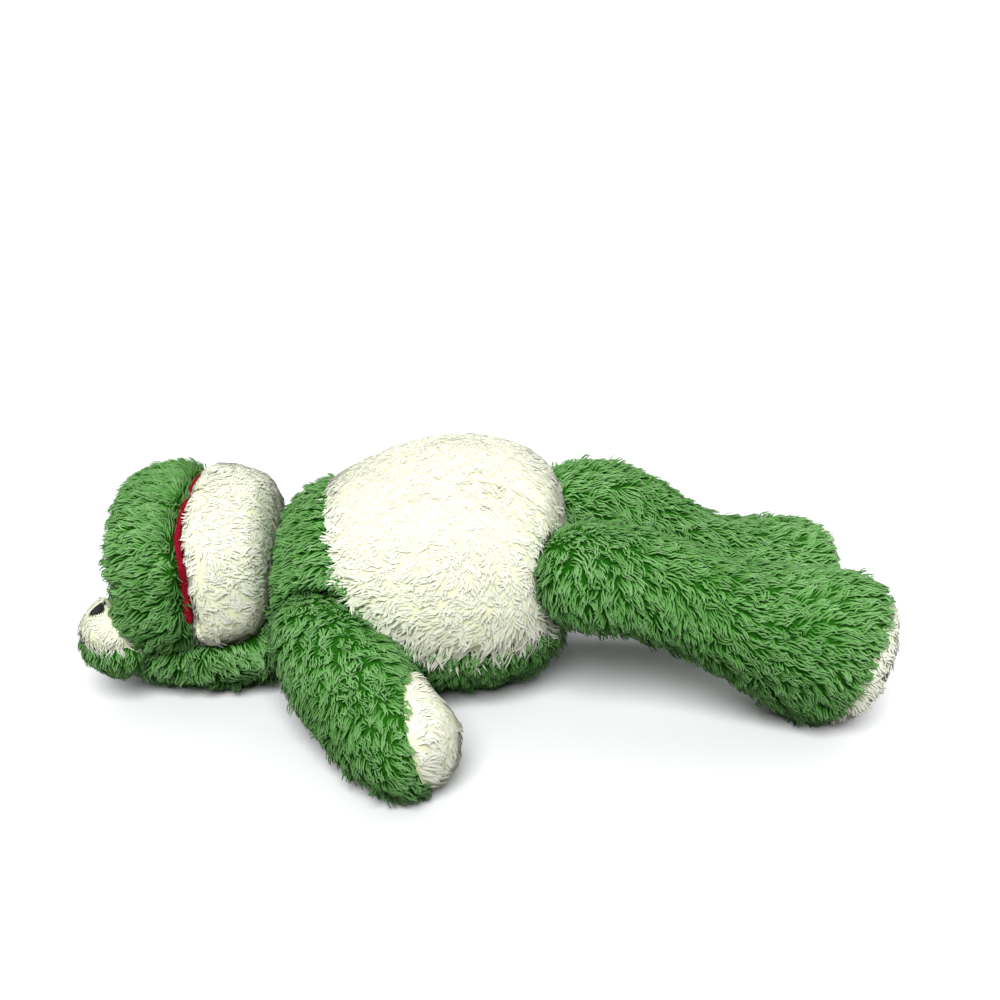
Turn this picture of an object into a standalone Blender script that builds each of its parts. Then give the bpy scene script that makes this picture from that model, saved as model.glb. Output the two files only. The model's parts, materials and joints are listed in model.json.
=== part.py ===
"""Stuffed plush frog that lies on its back, head to -X, feet to +X, belly up.

Every skin is an open shell of pile fabric round its own wad of stuffing. The head turns on
the neck seam, the arms swing at the shoulders and the legs fold up at the hips.
"""

from math import cos, pi, radians, sin

import bmesh
import bpy
from mathutils import Matrix, Vector

# Driving sizes, in metres. X runs from head to feet, Z up from the floor to the belly.
SKIN = 0.004                # fabric with its pile pressed flat
GAP = 0.0003                # between pieces that touch
FLOOR_CUT = 0.0005          # how deep the floor flattens a soft form
REACH = 0.5                 # overrun of every cutting block
BUMP = 0.0012               # how far embroidery stands up

TORSO_LENGTH = 0.150
TORSO_WIDTH = 0.134
TORSO_DEPTH = 0.116
NECK_X = -0.0718            # plane of the neck seam
NECK_HEIGHT = 0.046         # axis of the neck over the floor
NECK_OVERRUN = 0.008        # how far the torso form runs past the neck seam

BELLY_START = 0.026         # from the neck seam to the belly seam
BELLY_LENGTH = 0.160        # the belly seam lies on a ball of this length and spread
BELLY_SPREAD = 0.320
BELLY_SCOOP = 0.084         # from the belly's top down to the bottom of that ball

HEAD_LENGTH = 0.080
HEAD_WIDTH = 0.092
HEAD_DEPTH = 0.050
HEAD_OVERRUN = 0.010        # how far the head form runs past the neck seam

MUZZLE_LENGTH = 0.0815
MUZZLE_WIDTH = 0.114
MUZZLE_DEPTH = 0.081
MUZZLE_BASE = 0.022         # lowest point of the muzzle over the floor
LOWER_JAW_LENGTH = 0.037    # chin side of the mouth
MOUTH_OPENING = 0.0036
MOUTH_CORNER = 0.046        # height of the mouth's corners over the floor
FELT = 0.003
FELT_INSET = 0.0028         # how deep the felt lies in the mouth

EYE_LENGTH = 0.037
EYE_WIDTH = 0.038
EYE_DEPTH = 0.042
EYE_INSET = 0.0205          # from the muzzle's side in to the middle of an eye bump
EYE_BASE = 0.014            # lowest point of an eye bump over the floor
EYE_STANDOFF = 0.0120       # how far an eye bump stands past the crown
EYE_SEAM = 0.031            # height of the seam between white and hood
PUPIL_LENGTH = 0.011        # across the face
PUPIL_WIDTH = 0.009         # along the head
PUPIL_RAKE = 17             # degrees that the pupils look towards the crown
PUPIL_SPLAY = 26            # degrees that they look outwards

ARM_LENGTH = 0.079          # from the shoulder's centre to the hand's
ARM_WIDTH = 0.053
SHOULDER_X = -0.0475
SHOULDER_SIDE = 0.055
SHOULDER_DROP = 0.014       # shoulder below the torso's middle height
SHOULDER_BALL = 0.0235      # radius of the arm's root
PALM_LENGTH = 0.002         # from the hand's centre back to the palm seam, along X
PALM_TILT = 14              # degrees that the palm seam leans over

LEG_LENGTH = 0.127          # from the hip's centre to the sole's rim, along X
LEG_SPLAY = 0.013           # how far the foot lies outside the hip
THIGH_WIDTH = 0.055
FOOT_LENGTH = 0.078         # from heel to toe
FOOT_WIDTH = 0.062
SOLE_CROWN = 0.013          # how far the sole bulges past its seam
HIP_X = 0.0835
HIP_SIDE = 0.043
HIP_RISE = 0.011            # hip over the torso's middle height
HIP_BALL = 0.0295           # radius of the leg's root

EYE_SPACING = MUZZLE_WIDTH - 2 * EYE_INSET
SHOULDER_HEIGHT = TORSO_DEPTH / 2 - SHOULDER_DROP
HIP_HEIGHT = TORSO_DEPTH / 2 + HIP_RISE

COLOURS = {
    "green": (0.090, 0.270, 0.060, 1.0),
    "cream": (0.870, 0.860, 0.680, 1.0),
    "red": (0.560, 0.015, 0.040, 1.0),
    "black": (0.012, 0.012, 0.016, 1.0),
    "stuffing": (0.850, 0.850, 0.830, 1.0),
}

SIDES = 10                  # of the big forms' cages
LIMB_SIDES = 8
BALL_SIDES = 24             # of the balls that hollow and cut
SEAM_SIDES = 28             # of the ball on which the belly seam lies
EYE_SIDES = 16
ROUNDING = 1                # subdivisions that round a cage
REST_TRIES = 3              # rounds of lowering a limb until it rests

TORSO_CORNER_SHARE = 0.07   # how far a form's outline is pushed out at its corners
HEAD_CORNER_SHARE = 0.10
MUZZLE_CORNER_SHARE = 0.30


def ring_shares(sides, corner):
    """Points of a round outline whose slanting stretches are pushed out by corner."""
    shares = []
    for k in range(sides):
        turn = 2 * pi * k / sides
        push = 1 + corner * sin(2 * turn) ** 2
        shares.append((push * cos(turn), push * sin(turn)))
    return shares


# Cross-sections along a form: place, centre height, width and depth, as shares of its box
TORSO_SHARES = [
    (0.00, 0.37, 0.60, 0.60),
    (0.18, 0.41, 0.82, 0.78),
    (0.42, 0.48, 0.98, 0.95),
    (0.72, 0.50, 1.00, 1.00),
    (0.97, 0.48, 0.80, 0.80),
    (1.00, 0.48, 0.34, 0.36),
]
HEAD_SHARES = [
    (0.00, 0.50, 0.42, 0.42),
    (0.05, 0.50, 0.84, 0.82),
    (0.35, 0.50, 1.00, 1.00),
    (0.70, 0.50, 0.96, 1.00),
    (1.00, 0.50, 0.80, 0.90),
]
MUZZLE_SHARES = [
    (0.00, 0.54, 0.62, 0.60),
    (0.04, 0.51, 0.92, 0.90),
    (0.28, 0.50, 0.99, 0.99),
    (0.60, 0.50, 1.00, 1.00),
    (0.95, 0.49, 0.92, 0.88),
    (1.00, 0.49, 0.52, 0.48),
]

# Rings of a limb's round root: place and radius, as shares of the root's radius
ROOT_SHARES = [(-0.96, 0.36), (-0.72, 0.76), (-0.10, 0.98)]

# Rings along an arm: place, drop from root to hand, breadth and height, as shares
ARM_SHARES = [
    (0.30, 0.42, 1.08, 1.00),
    (0.68, 0.90, 1.04, 0.98),
    (1.08, 1.00, 1.02, 0.96),
    (1.25, 1.00, 0.64, 0.60),
]
ARM_AZIMUTH = 54            # degrees from the feet out to the side

# Rings along a leg: place, drop from hip to sole, splay, thigh to foot, and swell, as shares
LEG_RIGHT_SHARES = [
    (0.20, 0.10, 0.10, 0.00, 1.00),
    (0.46, 0.42, 0.50, 0.00, 0.96),
    (0.74, 0.72, 0.90, 0.90, 1.02),
    (0.98, 1.00, 1.00, 0.95, 1.04),
    (1.06, 1.10, 1.00, 0.90, 0.62),
]
LEG_LEFT_SHARES = [
    (0.20, 0.14, 0.05, 0.00, 1.00),
    (0.46, 0.66, 0.10, 0.00, 0.92),
    (0.72, 1.00, 0.20, 0.90, 0.98),
    (0.98, 1.02, 0.20, 0.95, 1.00),
    (1.06, 1.02, 0.20, 0.90, 0.60),
]
LEG_RIGHT_ROLL = 0          # degrees that the foot turns about the leg
LEG_LEFT_ROLL = 70
SOLE_RIGHT_TILT = 24        # degrees that the sole faces down
SOLE_LEFT_TILT = 0

# A pupil's outline across the face and along the head, as shares of its size: a half moon
# with a lash
PUPIL_SHARES = [
    (-0.50, -0.30), (-0.42, 0.22), (-0.16, 0.46), (0.16, 0.44), (0.52, 0.46),
    (1.24, 0.92), (0.62, 0.16), (0.34, -0.12), (0.10, -0.34), (-0.22, -0.50),
]


def start_scene():
    """Empty the scene and make the collections."""
    for obj in list(bpy.data.objects):
        bpy.data.objects.remove(obj, do_unlink=True)
    made = {}
    for name in ("plush_frog", "cutters"):
        made[name] = bpy.data.collections.new(name)
        bpy.context.scene.collection.children.link(made[name])
    return made["plush_frog"], made["cutters"]


FROG, CUTTERS = start_scene()


def fabric(colour):
    """A matt fabric of one of the named colours."""
    material = bpy.data.materials.get(colour) or bpy.data.materials.new(colour)
    material.use_nodes = True
    shader = material.node_tree.nodes["Principled BSDF"]
    shader.inputs["Base Color"].default_value = COLOURS[colour]
    shader.inputs["Roughness"].default_value = 0.9
    shader.inputs["Metallic"].default_value = 0.0
    return material


def add_object(name, mesh, hidden=True):
    """Link a mesh as a cutter, or as a piece of the frog."""
    obj = bpy.data.objects.new(name, mesh)
    if hidden:
        CUTTERS.objects.link(obj)
        obj.hide_render = True
        obj.display_type = "WIRE"
    else:
        FROG.objects.link(obj)
    return obj


def mesh_from(bm, name):
    """Turn a bmesh into a smooth mesh whose faces point out."""
    bmesh.ops.recalc_face_normals(bm, faces=bm.faces)
    mesh = bpy.data.meshes.new(name)
    bm.to_mesh(mesh)
    bm.free()
    mesh.shade_smooth()
    return mesh


def soften(obj, swell):
    """Round a cage, then swell it, or shrink it where swell is negative."""
    round_off = obj.modifiers.new("round", "SUBSURF")
    round_off.levels = ROUNDING
    round_off.render_levels = ROUNDING
    split = obj.modifiers.new("split", "TRIANGULATE")
    split.quad_method = "FIXED"
    if swell:
        puff = obj.modifiers.new("swell", "DISPLACE")
        puff.mid_level = 0.0
        puff.strength = swell
    return obj


def measured(obj):
    """Corners of an object's evaluated mesh."""
    bpy.context.view_layer.update()
    shape = obj.evaluated_get(bpy.context.evaluated_depsgraph_get()).to_mesh()
    low = Vector(min(v.co[i] for v in shape.vertices) for i in range(3))
    high = Vector(max(v.co[i] for v in shape.vertices) for i in range(3))
    return low, high


def cage(name, outline, frames):
    """Extrude an outline from frame to frame and close both ends."""
    bm = bmesh.new()
    ring = [bm.verts.new(frames[0] @ Vector((0, side, rise))) for side, rise in outline]
    edges = [bm.edges.new((ring[k - 1], ring[k])) for k in range(len(ring))]
    bmesh.ops.contextual_create(bm, geom=edges)
    for before, after in zip(frames, frames[1:]):
        grown = bmesh.ops.extrude_edge_only(bm, edges=edges)["geom"]
        new = {item for item in grown if isinstance(item, bmesh.types.BMVert)}
        step = after @ before.inverted()
        for vert in new:
            vert.co = step @ vert.co
        rims = [item for item in grown if isinstance(item, bmesh.types.BMEdge)]
        edges = [rim for rim in rims if set(rim.verts) <= new]
    bmesh.ops.contextual_create(bm, geom=edges)
    return mesh_from(bm, name)


def pillow(name, low, high, shares, outline):
    """A soft form whose rounded surface just fills the box from low to high."""
    frames = []
    for along, centre, width, depth in shares:
        size = Matrix.Diagonal((1, width / 2, depth / 2, 1))
        frames.append(Matrix.Translation((along, 0, centre)) @ size)
    mesh = cage(name, outline, frames)
    probe = soften(add_object(name + "_probe", mesh), 0)
    found_low, found_high = measured(probe)
    bpy.data.objects.remove(probe)
    for vert in mesh.vertices:
        for i in range(3):
            part = (vert.co[i] - found_low[i]) / (found_high[i] - found_low[i])
            vert.co[i] = low[i] + part * (high[i] - low[i])
    return mesh


def limb(name, path):
    """A soft form along a path of (centre, breadth, height, roll) rings."""
    pull = (3 + cos(2 * pi / LIMB_SIDES)) / 4
    frames = []
    for k, (centre, breadth, height, roll) in enumerate(path):
        ahead = (path[min(k + 1, len(path) - 1)][0] - path[max(k - 1, 0)][0]).normalized()
        side = Vector((0, 0, 1)).cross(ahead).normalized()
        turn = Matrix((ahead, side, ahead.cross(side))).transposed().to_4x4()
        size = Matrix.Diagonal((1, breadth / 2 / pull, height / 2 / pull, 1))
        lean = Matrix.Rotation(roll, 4, "X")
        frames.append(Matrix.Translation(centre) @ turn @ lean @ size @ lean.inverted())
    return cage(name, ring_shares(LIMB_SIDES, 0), frames)


def root_rings(root, ahead, radius):
    """The rings of a limb's root, which fills a ball."""
    rings = []
    for along, share in ROOT_SHARES:
        width = 2 * share * radius
        rings.append((root + ahead * along * radius, width, width, 0))
    return rings


def rested(name, make_path, drop):
    """Make a limb whose tip sinks into the floor by the flat cut."""
    for _ in range(REST_TRIES):
        mesh = limb(name, make_path(drop))
        probe = soften(add_object(name + "_probe", mesh), 0)
        low, high = measured(probe)
        bpy.data.objects.remove(probe)
        drop += low.z + FLOOR_CUT
    return mesh


def block(name, point, direction):
    """A big block that fills everything beyond a point in one direction."""
    bm = bmesh.new()
    turn = direction.to_track_quat("X", "Z").to_matrix().to_4x4()
    place = Matrix.Translation(point) @ turn @ Matrix.Translation((REACH / 2, 0, 0))
    bmesh.ops.create_cube(bm, size=REACH, matrix=place)
    return add_object(name, mesh_from(bm, name))


def slab(name, low, high):
    """A box between two corners."""
    bm = bmesh.new()
    size = high - low
    place = Matrix.Translation((low + high) / 2) @ Matrix.Diagonal((size.x, size.y, size.z, 1))
    bmesh.ops.create_cube(bm, size=1, matrix=place)
    return add_object(name, mesh_from(bm, name))


def ball(name, centre, size, sides=BALL_SIDES):
    """An ellipsoid with the given full size."""
    bm = bmesh.new()
    place = Matrix.Translation(centre) @ Matrix.Diagonal((size[0], size[1], size[2], 1))
    bmesh.ops.create_uvsphere(
        bm, u_segments=sides, v_segments=sides // 2, radius=0.5, matrix=place
    )
    return add_object(name, mesh_from(bm, name))


def cutter(name, mesh, swell):
    """A soft form used for cutting."""
    return soften(add_object(name, mesh), swell)


def boolean(obj, tool, operation="DIFFERENCE"):
    """Cut an object with another, or keep only what they share."""
    step = obj.modifiers.new(tool.name, "BOOLEAN")
    step.solver = "EXACT"
    step.operation = operation
    step.object = tool
    return obj


def piece(name, mesh, colour, cuts, swell=0, keep=None, soft=True):
    """A named part of the frog: a soft form with everything in cuts taken out."""
    obj = add_object(name, mesh.copy(), hidden=False)
    if soft:
        soften(obj, swell)
    obj.data.name = name
    obj.data.materials.append(fabric(colour))
    if keep:
        boolean(obj, keep, "INTERSECT")
    for tool in cuts:
        boolean(obj, tool)
    return obj


def joint_empty(name, place, obj_names):
    """An empty on a joint's axis that carries its pieces."""
    empty = bpy.data.objects.new(name, None)
    empty.location = place
    CUTTERS.objects.link(empty)
    bpy.context.view_layer.update()
    for obj_name in obj_names:
        obj = FROG.objects[obj_name]
        obj.parent = empty
        obj.matrix_parent_inverse = empty.matrix_world.inverted()


# Planes that cut through several pieces
FLOOR = block("floor_cut", Vector((0, 0, 0)), Vector((0, 0, -1)))
NECK_HEAD_SIDE = block("neck_cut_torso", Vector((NECK_X + GAP / 2, 0, 0)), Vector((-1, 0, 0)))
NECK_TORSO_SIDE = block("neck_cut_head", Vector((NECK_X - GAP / 2, 0, 0)), Vector((1, 0, 0)))


def shoulder_centre(side):
    """The middle of an arm's root: -1 is the right side, 1 the left."""
    return Vector((SHOULDER_X, side * SHOULDER_SIDE, SHOULDER_HEIGHT))


def hip_centre(side):
    """The middle of a leg's root."""
    return Vector((HIP_X, side * HIP_SIDE, HIP_HEIGHT))


def sockets(name, clearance):
    """Balls that hollow the torso for the roots of the limbs."""
    made = []
    for side, word in ((-1, "right"), (1, "left")):
        shoulder = Vector((2, 2, 2)) * (SHOULDER_BALL + clearance)
        hip = Vector((2, 2, 2)) * (HIP_BALL + clearance)
        made.append(ball(f"{name}_shoulder_{word}", shoulder_centre(side), shoulder))
        made.append(ball(f"{name}_hip_{word}", hip_centre(side), hip))
    return made


def make_torso():
    """Back panel, belly panel and stuffing. Returns the torso's cage."""
    low = Vector((NECK_X - NECK_OVERRUN, -TORSO_WIDTH / 2, -FLOOR_CUT))
    high = Vector((NECK_X - NECK_OVERRUN + TORSO_LENGTH, TORSO_WIDTH / 2, TORSO_DEPTH))
    outline = ring_shares(SIDES, TORSO_CORNER_SHARE)
    mesh = pillow("torso_form", low, high, TORSO_SHARES, outline)
    hollow = cutter("torso_hollow", mesh, -SKIN)
    scoop_centre = Vector((NECK_X + BELLY_START + BELLY_LENGTH / 2, 0, TORSO_DEPTH))
    scoop = (BELLY_LENGTH, BELLY_SPREAD, 2 * BELLY_SCOOP)
    inner = tuple(size - 2 * GAP for size in scoop)
    outside = ball("belly_seam_outer", scoop_centre, scoop, SEAM_SIDES)
    inside = ball("belly_seam_inner", scoop_centre, inner, SEAM_SIDES)
    roots = sockets("socket", GAP)
    hips = [tool for tool in roots if "hip" in tool.name]
    piece("back_panel", mesh, "green", roots + [hollow, outside, NECK_HEAD_SIDE, FLOOR])
    piece("belly_panel", mesh, "cream", [hollow] + hips, keep=inside)
    piece("torso_filling", mesh, "stuffing", [NECK_HEAD_SIDE] + roots, swell=-SKIN - GAP)
    return mesh


def make_head():
    """Back of the head, both jaws with their felt, and the eye bumps."""
    head_low = Vector((NECK_X - HEAD_LENGTH, -HEAD_WIDTH / 2, -FLOOR_CUT))
    head_high = Vector((NECK_X + HEAD_OVERRUN, HEAD_WIDTH / 2, HEAD_DEPTH))
    outline = ring_shares(SIDES, HEAD_CORNER_SHARE)
    head = pillow("head_form", head_low, head_high, HEAD_SHARES, outline)
    muzzle_low = Vector((NECK_X - GAP / 2 - MUZZLE_LENGTH, -MUZZLE_WIDTH / 2, MUZZLE_BASE))
    muzzle_high = Vector((NECK_X - GAP / 2, MUZZLE_WIDTH / 2, MUZZLE_BASE + MUZZLE_DEPTH))
    outline = ring_shares(SIDES, MUZZLE_CORNER_SHARE)
    muzzle = pillow("muzzle_form", muzzle_low, muzzle_high, MUZZLE_SHARES, outline)
    head_cut = cutter("head_cut", head, GAP)
    muzzle_cut = cutter("muzzle_cut", muzzle, GAP)
    head_hollow = cutter("head_hollow", head, -SKIN)
    piece("head_back", head, "green", [head_hollow, muzzle_cut, NECK_TORSO_SIDE, FLOOR])
    piece("head_filling", head, "stuffing", [muzzle_cut, NECK_TORSO_SIDE], swell=-SKIN - GAP)
    make_jaws(muzzle)
    make_eyes(muzzle_low.x, head_cut, muzzle_cut)


def make_jaws(muzzle):
    """Upper and lower jaw with the felt mouth between them."""
    mouth_x = NECK_X - LOWER_JAW_LENGTH
    hollow = cutter("muzzle_hollow", muzzle, -SKIN)
    chin_side = block("chin_side", Vector((mouth_x - GAP / 2, 0, 0)), Vector((1, 0, 0)))
    crown_side = block("crown_side", Vector((mouth_x + GAP / 2, 0, 0)), Vector((-1, 0, 0)))
    half = Vector((MOUTH_OPENING / 2, REACH / 2, 0))
    corner = Vector((mouth_x, 0, MOUTH_CORNER))
    opening = slab("mouth_opening", corner - half, corner + half + Vector((0, 0, REACH)))
    piece("upper_jaw", muzzle, "green", [hollow, chin_side, opening])
    piece("upper_jaw_filling", muzzle, "stuffing", [chin_side, opening], swell=-SKIN - GAP)
    piece("lower_jaw", muzzle, "cream", [hollow, crown_side, opening])
    piece("lower_jaw_filling", muzzle, "stuffing", [crown_side, opening], swell=-SKIN - GAP)
    half.x = FELT / 2
    corner.z += GAP
    felt = slab("felt_sheet", corner - half, corner + half + Vector((0, 0, REACH)))
    piece("mouth_lining", muzzle, "red", [], swell=-FELT_INSET, keep=felt)


def make_eyes(crown_x, head_cut, muzzle_cut):
    """Eye bumps: cream white in front, green hood behind, each with a pupil."""
    size = Vector((EYE_LENGTH, EYE_WIDTH, EYE_DEPTH))
    front = block("eye_front", Vector((0, 0, EYE_SEAM - GAP / 2)), Vector((0, 0, 1)))
    back = block("eye_back", Vector((0, 0, EYE_SEAM + GAP / 2)), Vector((0, 0, -1)))
    for side, word in ((-1, "right"), (1, "left")):
        front_x = crown_x - EYE_STANDOFF
        centre = Vector((front_x + EYE_LENGTH / 2, side * EYE_SPACING / 2, EYE_BASE + EYE_DEPTH / 2))
        all_round = Vector((2, 2, 2))
        hollow = ball(f"eye_hollow_{word}", centre, size - all_round * SKIN, EYE_SIDES)
        bump = ball(f"eye_form_{word}", centre, size, EYE_SIDES).data
        wad = ball(f"eye_wad_{word}", centre, size - all_round * (SKIN + GAP), EYE_SIDES).data
        around = [head_cut, muzzle_cut]
        for name, mesh, colour, cuts in (
            ("eye_white", bump, "cream", around + [hollow, back]),
            ("eye_hood", bump, "green", around + [hollow, front]),
            ("eye_filling", wad, "stuffing", around),
        ):
            piece(f"{name}_{word}", mesh, colour, cuts, soft=False)
        make_pupil(word, side, centre, size, muzzle_cut)


def make_pupil(word, side, centre, size, muzzle_cut):
    """An embroidered patch that hugs the front of an eye bump."""
    splay = Matrix.Rotation(-side * radians(PUPIL_SPLAY), 4, "X")
    turn = splay @ Matrix.Rotation(radians(-PUPIL_RAKE), 4, "Y")
    place = Matrix.Translation(centre) @ turn
    bm = bmesh.new()
    corners = []
    for across, along in PUPIL_SHARES:
        point = Vector((along * PUPIL_WIDTH, -side * across * PUPIL_LENGTH, 0))
        corners.append(bm.verts.new(place @ point))
    face = bmesh.ops.contextual_create(bm, geom=corners)["faces"]
    grown = bmesh.ops.extrude_face_region(bm, geom=face)["geom"]
    raised = [item for item in grown if isinstance(item, bmesh.types.BMVert)]
    bmesh.ops.translate(bm, verts=raised, vec=turn @ Vector((0, 0, size.z)))
    patch = mesh_from(bm, f"pupil_form_{word}")
    all_round = Vector((2, 2, 2))
    top = ball(f"pupil_top_{word}", centre, size + all_round * BUMP, EYE_SIDES)
    under = ball(f"pupil_under_{word}", centre, size + all_round * GAP, EYE_SIDES)
    piece(f"pupil_{word}", patch, "black", [under, muzzle_cut], keep=top, soft=False)


def torso_cuts(word, torso, root):
    """What cuts an arm, its hollow and its wad: the torso but for the arm's socket."""
    made = []
    for layer, depth in (("skin", 0), ("hollow", SKIN), ("wad", SKIN + GAP)):
        around = cutter(f"torso_{layer}_{word}", torso, GAP + depth)
        radius = SHOULDER_BALL - depth
        socket = ball(f"root_{layer}_{word}", root, Vector((2, 2, 2)) * radius)
        made.append(boolean(around, socket))
    return made


def make_arms(torso):
    """Arms with their palms, cut to lie against the torso's sides."""
    for side, word in ((-1, "right"), (1, "left")):
        root = shoulder_centre(side)
        ahead = Vector((cos(radians(ARM_AZIMUTH)), side * sin(radians(ARM_AZIMUTH)), 0))

        def path(drop):
            rings = root_rings(root, ahead, SHOULDER_BALL)
            for along, fall, breadth, height in ARM_SHARES:
                centre = root + ahead * along * ARM_LENGTH - Vector((0, 0, fall * drop))
                rings.append((centre, breadth * ARM_WIDTH, height * ARM_WIDTH, 0))
            return rings

        mesh = rested(f"arm_form_{word}", path, SHOULDER_HEIGHT - ARM_WIDTH / 2)
        skin_cut, hollow_cut, wad_cut = torso_cuts(word, torso, root)
        hollow = boolean(cutter(f"arm_hollow_{word}", mesh, -SKIN), hollow_cut)
        seam = root + ahead * ARM_LENGTH - Vector((PALM_LENGTH, 0, 0))
        beyond = Vector((cos(radians(PALM_TILT)), 0, sin(radians(PALM_TILT))))
        palm_side = block(f"palm_side_{word}", seam - beyond * GAP / 2, beyond)
        arm_side = block(f"arm_side_{word}", seam + beyond * GAP / 2, -beyond)
        piece(f"arm_{word}", mesh, "green", [skin_cut, hollow, palm_side, FLOOR])
        piece(f"palm_{word}", mesh, "cream", [hollow, arm_side])
        piece(f"arm_filling_{word}", mesh, "stuffing", [wad_cut], swell=-SKIN - GAP)


def make_legs():
    """Legs with their soles. The left foot lies over on its side."""
    for side, word, shares, roll, tilt, leg_floor, sole_floor in (
        (-1, "right", LEG_RIGHT_SHARES, LEG_RIGHT_ROLL, SOLE_RIGHT_TILT, [], [FLOOR]),
        (1, "left", LEG_LEFT_SHARES, LEG_LEFT_ROLL, SOLE_LEFT_TILT, [FLOOR], []),
    ):
        root = hip_centre(side)

        def path(drop):
            rings = root_rings(root, Vector((1, 0, 0)), HIP_BALL)
            for along, fall, splay, foot, swell in shares:
                centre = root + Vector((along * LEG_LENGTH, side * splay * LEG_SPLAY, -fall * drop))
                breadth = swell * (THIGH_WIDTH + foot * (FOOT_WIDTH - THIGH_WIDTH))
                height = swell * (THIGH_WIDTH + foot * (FOOT_LENGTH - THIGH_WIDTH))
                rings.append((centre, breadth, height, -side * radians(roll) * foot))
            return rings

        mesh = rested(f"leg_form_{word}", path, HIP_HEIGHT - FOOT_LENGTH / 2)
        hollow = cutter(f"leg_hollow_{word}", mesh, -SKIN)
        beyond = Vector((cos(radians(tilt)), 0, -sin(radians(tilt))))
        rim = Vector((root.x + LEG_LENGTH * shares[-1][0] - SOLE_CROWN, root.y, FOOT_LENGTH / 2))
        sole_side = block(f"sole_side_{word}", rim - beyond * GAP / 2, beyond)
        leg_side = block(f"leg_side_{word}", rim + beyond * GAP / 2, -beyond)
        piece(f"leg_{word}", mesh, "green", [hollow, sole_side] + leg_floor)
        piece(f"sole_{word}", mesh, "cream", [hollow, leg_side] + sole_floor)
        piece(f"leg_filling_{word}", mesh, "stuffing", [], swell=-SKIN - GAP)


torso_cage = make_torso()
make_head()
make_arms(torso_cage)
make_legs()

HEAD_STARTS = ("head", "upper_jaw", "lower_jaw", "mouth", "eye", "pupil")
MOVING = {
    "neck": (Vector((NECK_X, 0, NECK_HEIGHT)), HEAD_STARTS),
    "shoulder_right": (shoulder_centre(-1), ("arm_right", "palm_right", "arm_filling_right")),
    "shoulder_left": (shoulder_centre(1), ("arm_left", "palm_left", "arm_filling_left")),
    "hip_right": (hip_centre(-1), ("leg_right", "sole_right", "leg_filling_right")),
    "hip_left": (hip_centre(1), ("leg_left", "sole_left", "leg_filling_left")),
}
for joint, (place, starts) in MOVING.items():
    joint_empty(joint, place, [obj.name for obj in FROG.objects if obj.name.startswith(starts)])
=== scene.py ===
# %% [markdown]
# # A plush frog that lies on its back
#
# The toy is sewn from long-pile plush and stuffed: green skins on the back, head, arms and
# legs, cream ones on the belly, chin, palms, soles and eyes. This lesson dresses the plain
# model of it in Blender. First the frame is loaded, which holds every plain part in place.

import math
import time
from collections import namedtuple

import bpy
import numpy as np
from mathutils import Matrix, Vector
from mathutils.bvhtree import BVHTree
from mathutils.kdtree import KDTree
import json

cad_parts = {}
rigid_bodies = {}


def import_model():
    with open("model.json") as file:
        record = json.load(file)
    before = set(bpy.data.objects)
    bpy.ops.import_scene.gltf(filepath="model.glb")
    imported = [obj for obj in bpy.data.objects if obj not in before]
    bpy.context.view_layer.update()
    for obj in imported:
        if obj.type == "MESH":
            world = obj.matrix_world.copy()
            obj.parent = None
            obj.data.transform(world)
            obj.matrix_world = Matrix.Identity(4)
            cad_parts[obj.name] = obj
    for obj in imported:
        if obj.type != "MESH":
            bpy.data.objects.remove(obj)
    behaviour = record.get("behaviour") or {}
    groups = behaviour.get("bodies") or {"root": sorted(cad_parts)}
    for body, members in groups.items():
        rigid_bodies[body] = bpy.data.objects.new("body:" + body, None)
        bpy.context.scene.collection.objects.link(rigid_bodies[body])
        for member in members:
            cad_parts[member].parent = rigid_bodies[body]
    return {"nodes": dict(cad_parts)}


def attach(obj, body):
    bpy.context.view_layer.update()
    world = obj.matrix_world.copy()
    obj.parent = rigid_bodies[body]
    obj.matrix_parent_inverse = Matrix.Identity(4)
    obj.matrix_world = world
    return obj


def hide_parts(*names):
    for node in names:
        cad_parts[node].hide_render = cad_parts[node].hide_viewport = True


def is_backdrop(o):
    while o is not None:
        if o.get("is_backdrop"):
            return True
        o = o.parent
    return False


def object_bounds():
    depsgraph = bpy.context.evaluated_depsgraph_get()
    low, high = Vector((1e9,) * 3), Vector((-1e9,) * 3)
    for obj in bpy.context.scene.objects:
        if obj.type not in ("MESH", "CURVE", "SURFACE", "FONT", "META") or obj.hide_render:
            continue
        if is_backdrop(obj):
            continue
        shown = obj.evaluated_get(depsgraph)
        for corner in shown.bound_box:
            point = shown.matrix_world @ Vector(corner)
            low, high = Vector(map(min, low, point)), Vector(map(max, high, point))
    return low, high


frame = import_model()
bpy.context.view_layer.update()
started = time.time()

# %% [markdown]
# ## Small helpers
#
# Blender's operators act on whatever is selected. The frame leaves its parts selected, so
# each step starts by selecting one object alone. The other helpers read a mesh into arrays
# and write it back, which is quicker than a loop over its points.

# %% Select, edit and apply
MM = 0.001
TINY = 1e-12  # keeps a division by a length of nothing harmless
SIDES = ("left", "right")


def alone(obj):
    """Selects one object and nothing else, and makes it the active one."""
    bpy.ops.object.select_all(action="DESELECT")
    obj.hide_set(False)
    obj.select_set(True)
    bpy.context.view_layer.objects.active = obj
    return obj


def added(name, data):
    """A new object in the scene that holds this mesh, lamp or camera."""
    obj = bpy.data.objects.new(name, data)
    bpy.context.scene.collection.objects.link(obj)
    return obj


def edit_mode(action="SELECT", kind="VERT"):
    """Opens edit mode on the active object, with all of it selected or nothing."""
    bpy.ops.object.mode_set(mode="EDIT")
    bpy.ops.mesh.select_mode(type=kind)
    bpy.ops.mesh.select_all(action=action)


def object_mode():
    bpy.ops.object.mode_set(mode="OBJECT")


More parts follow.
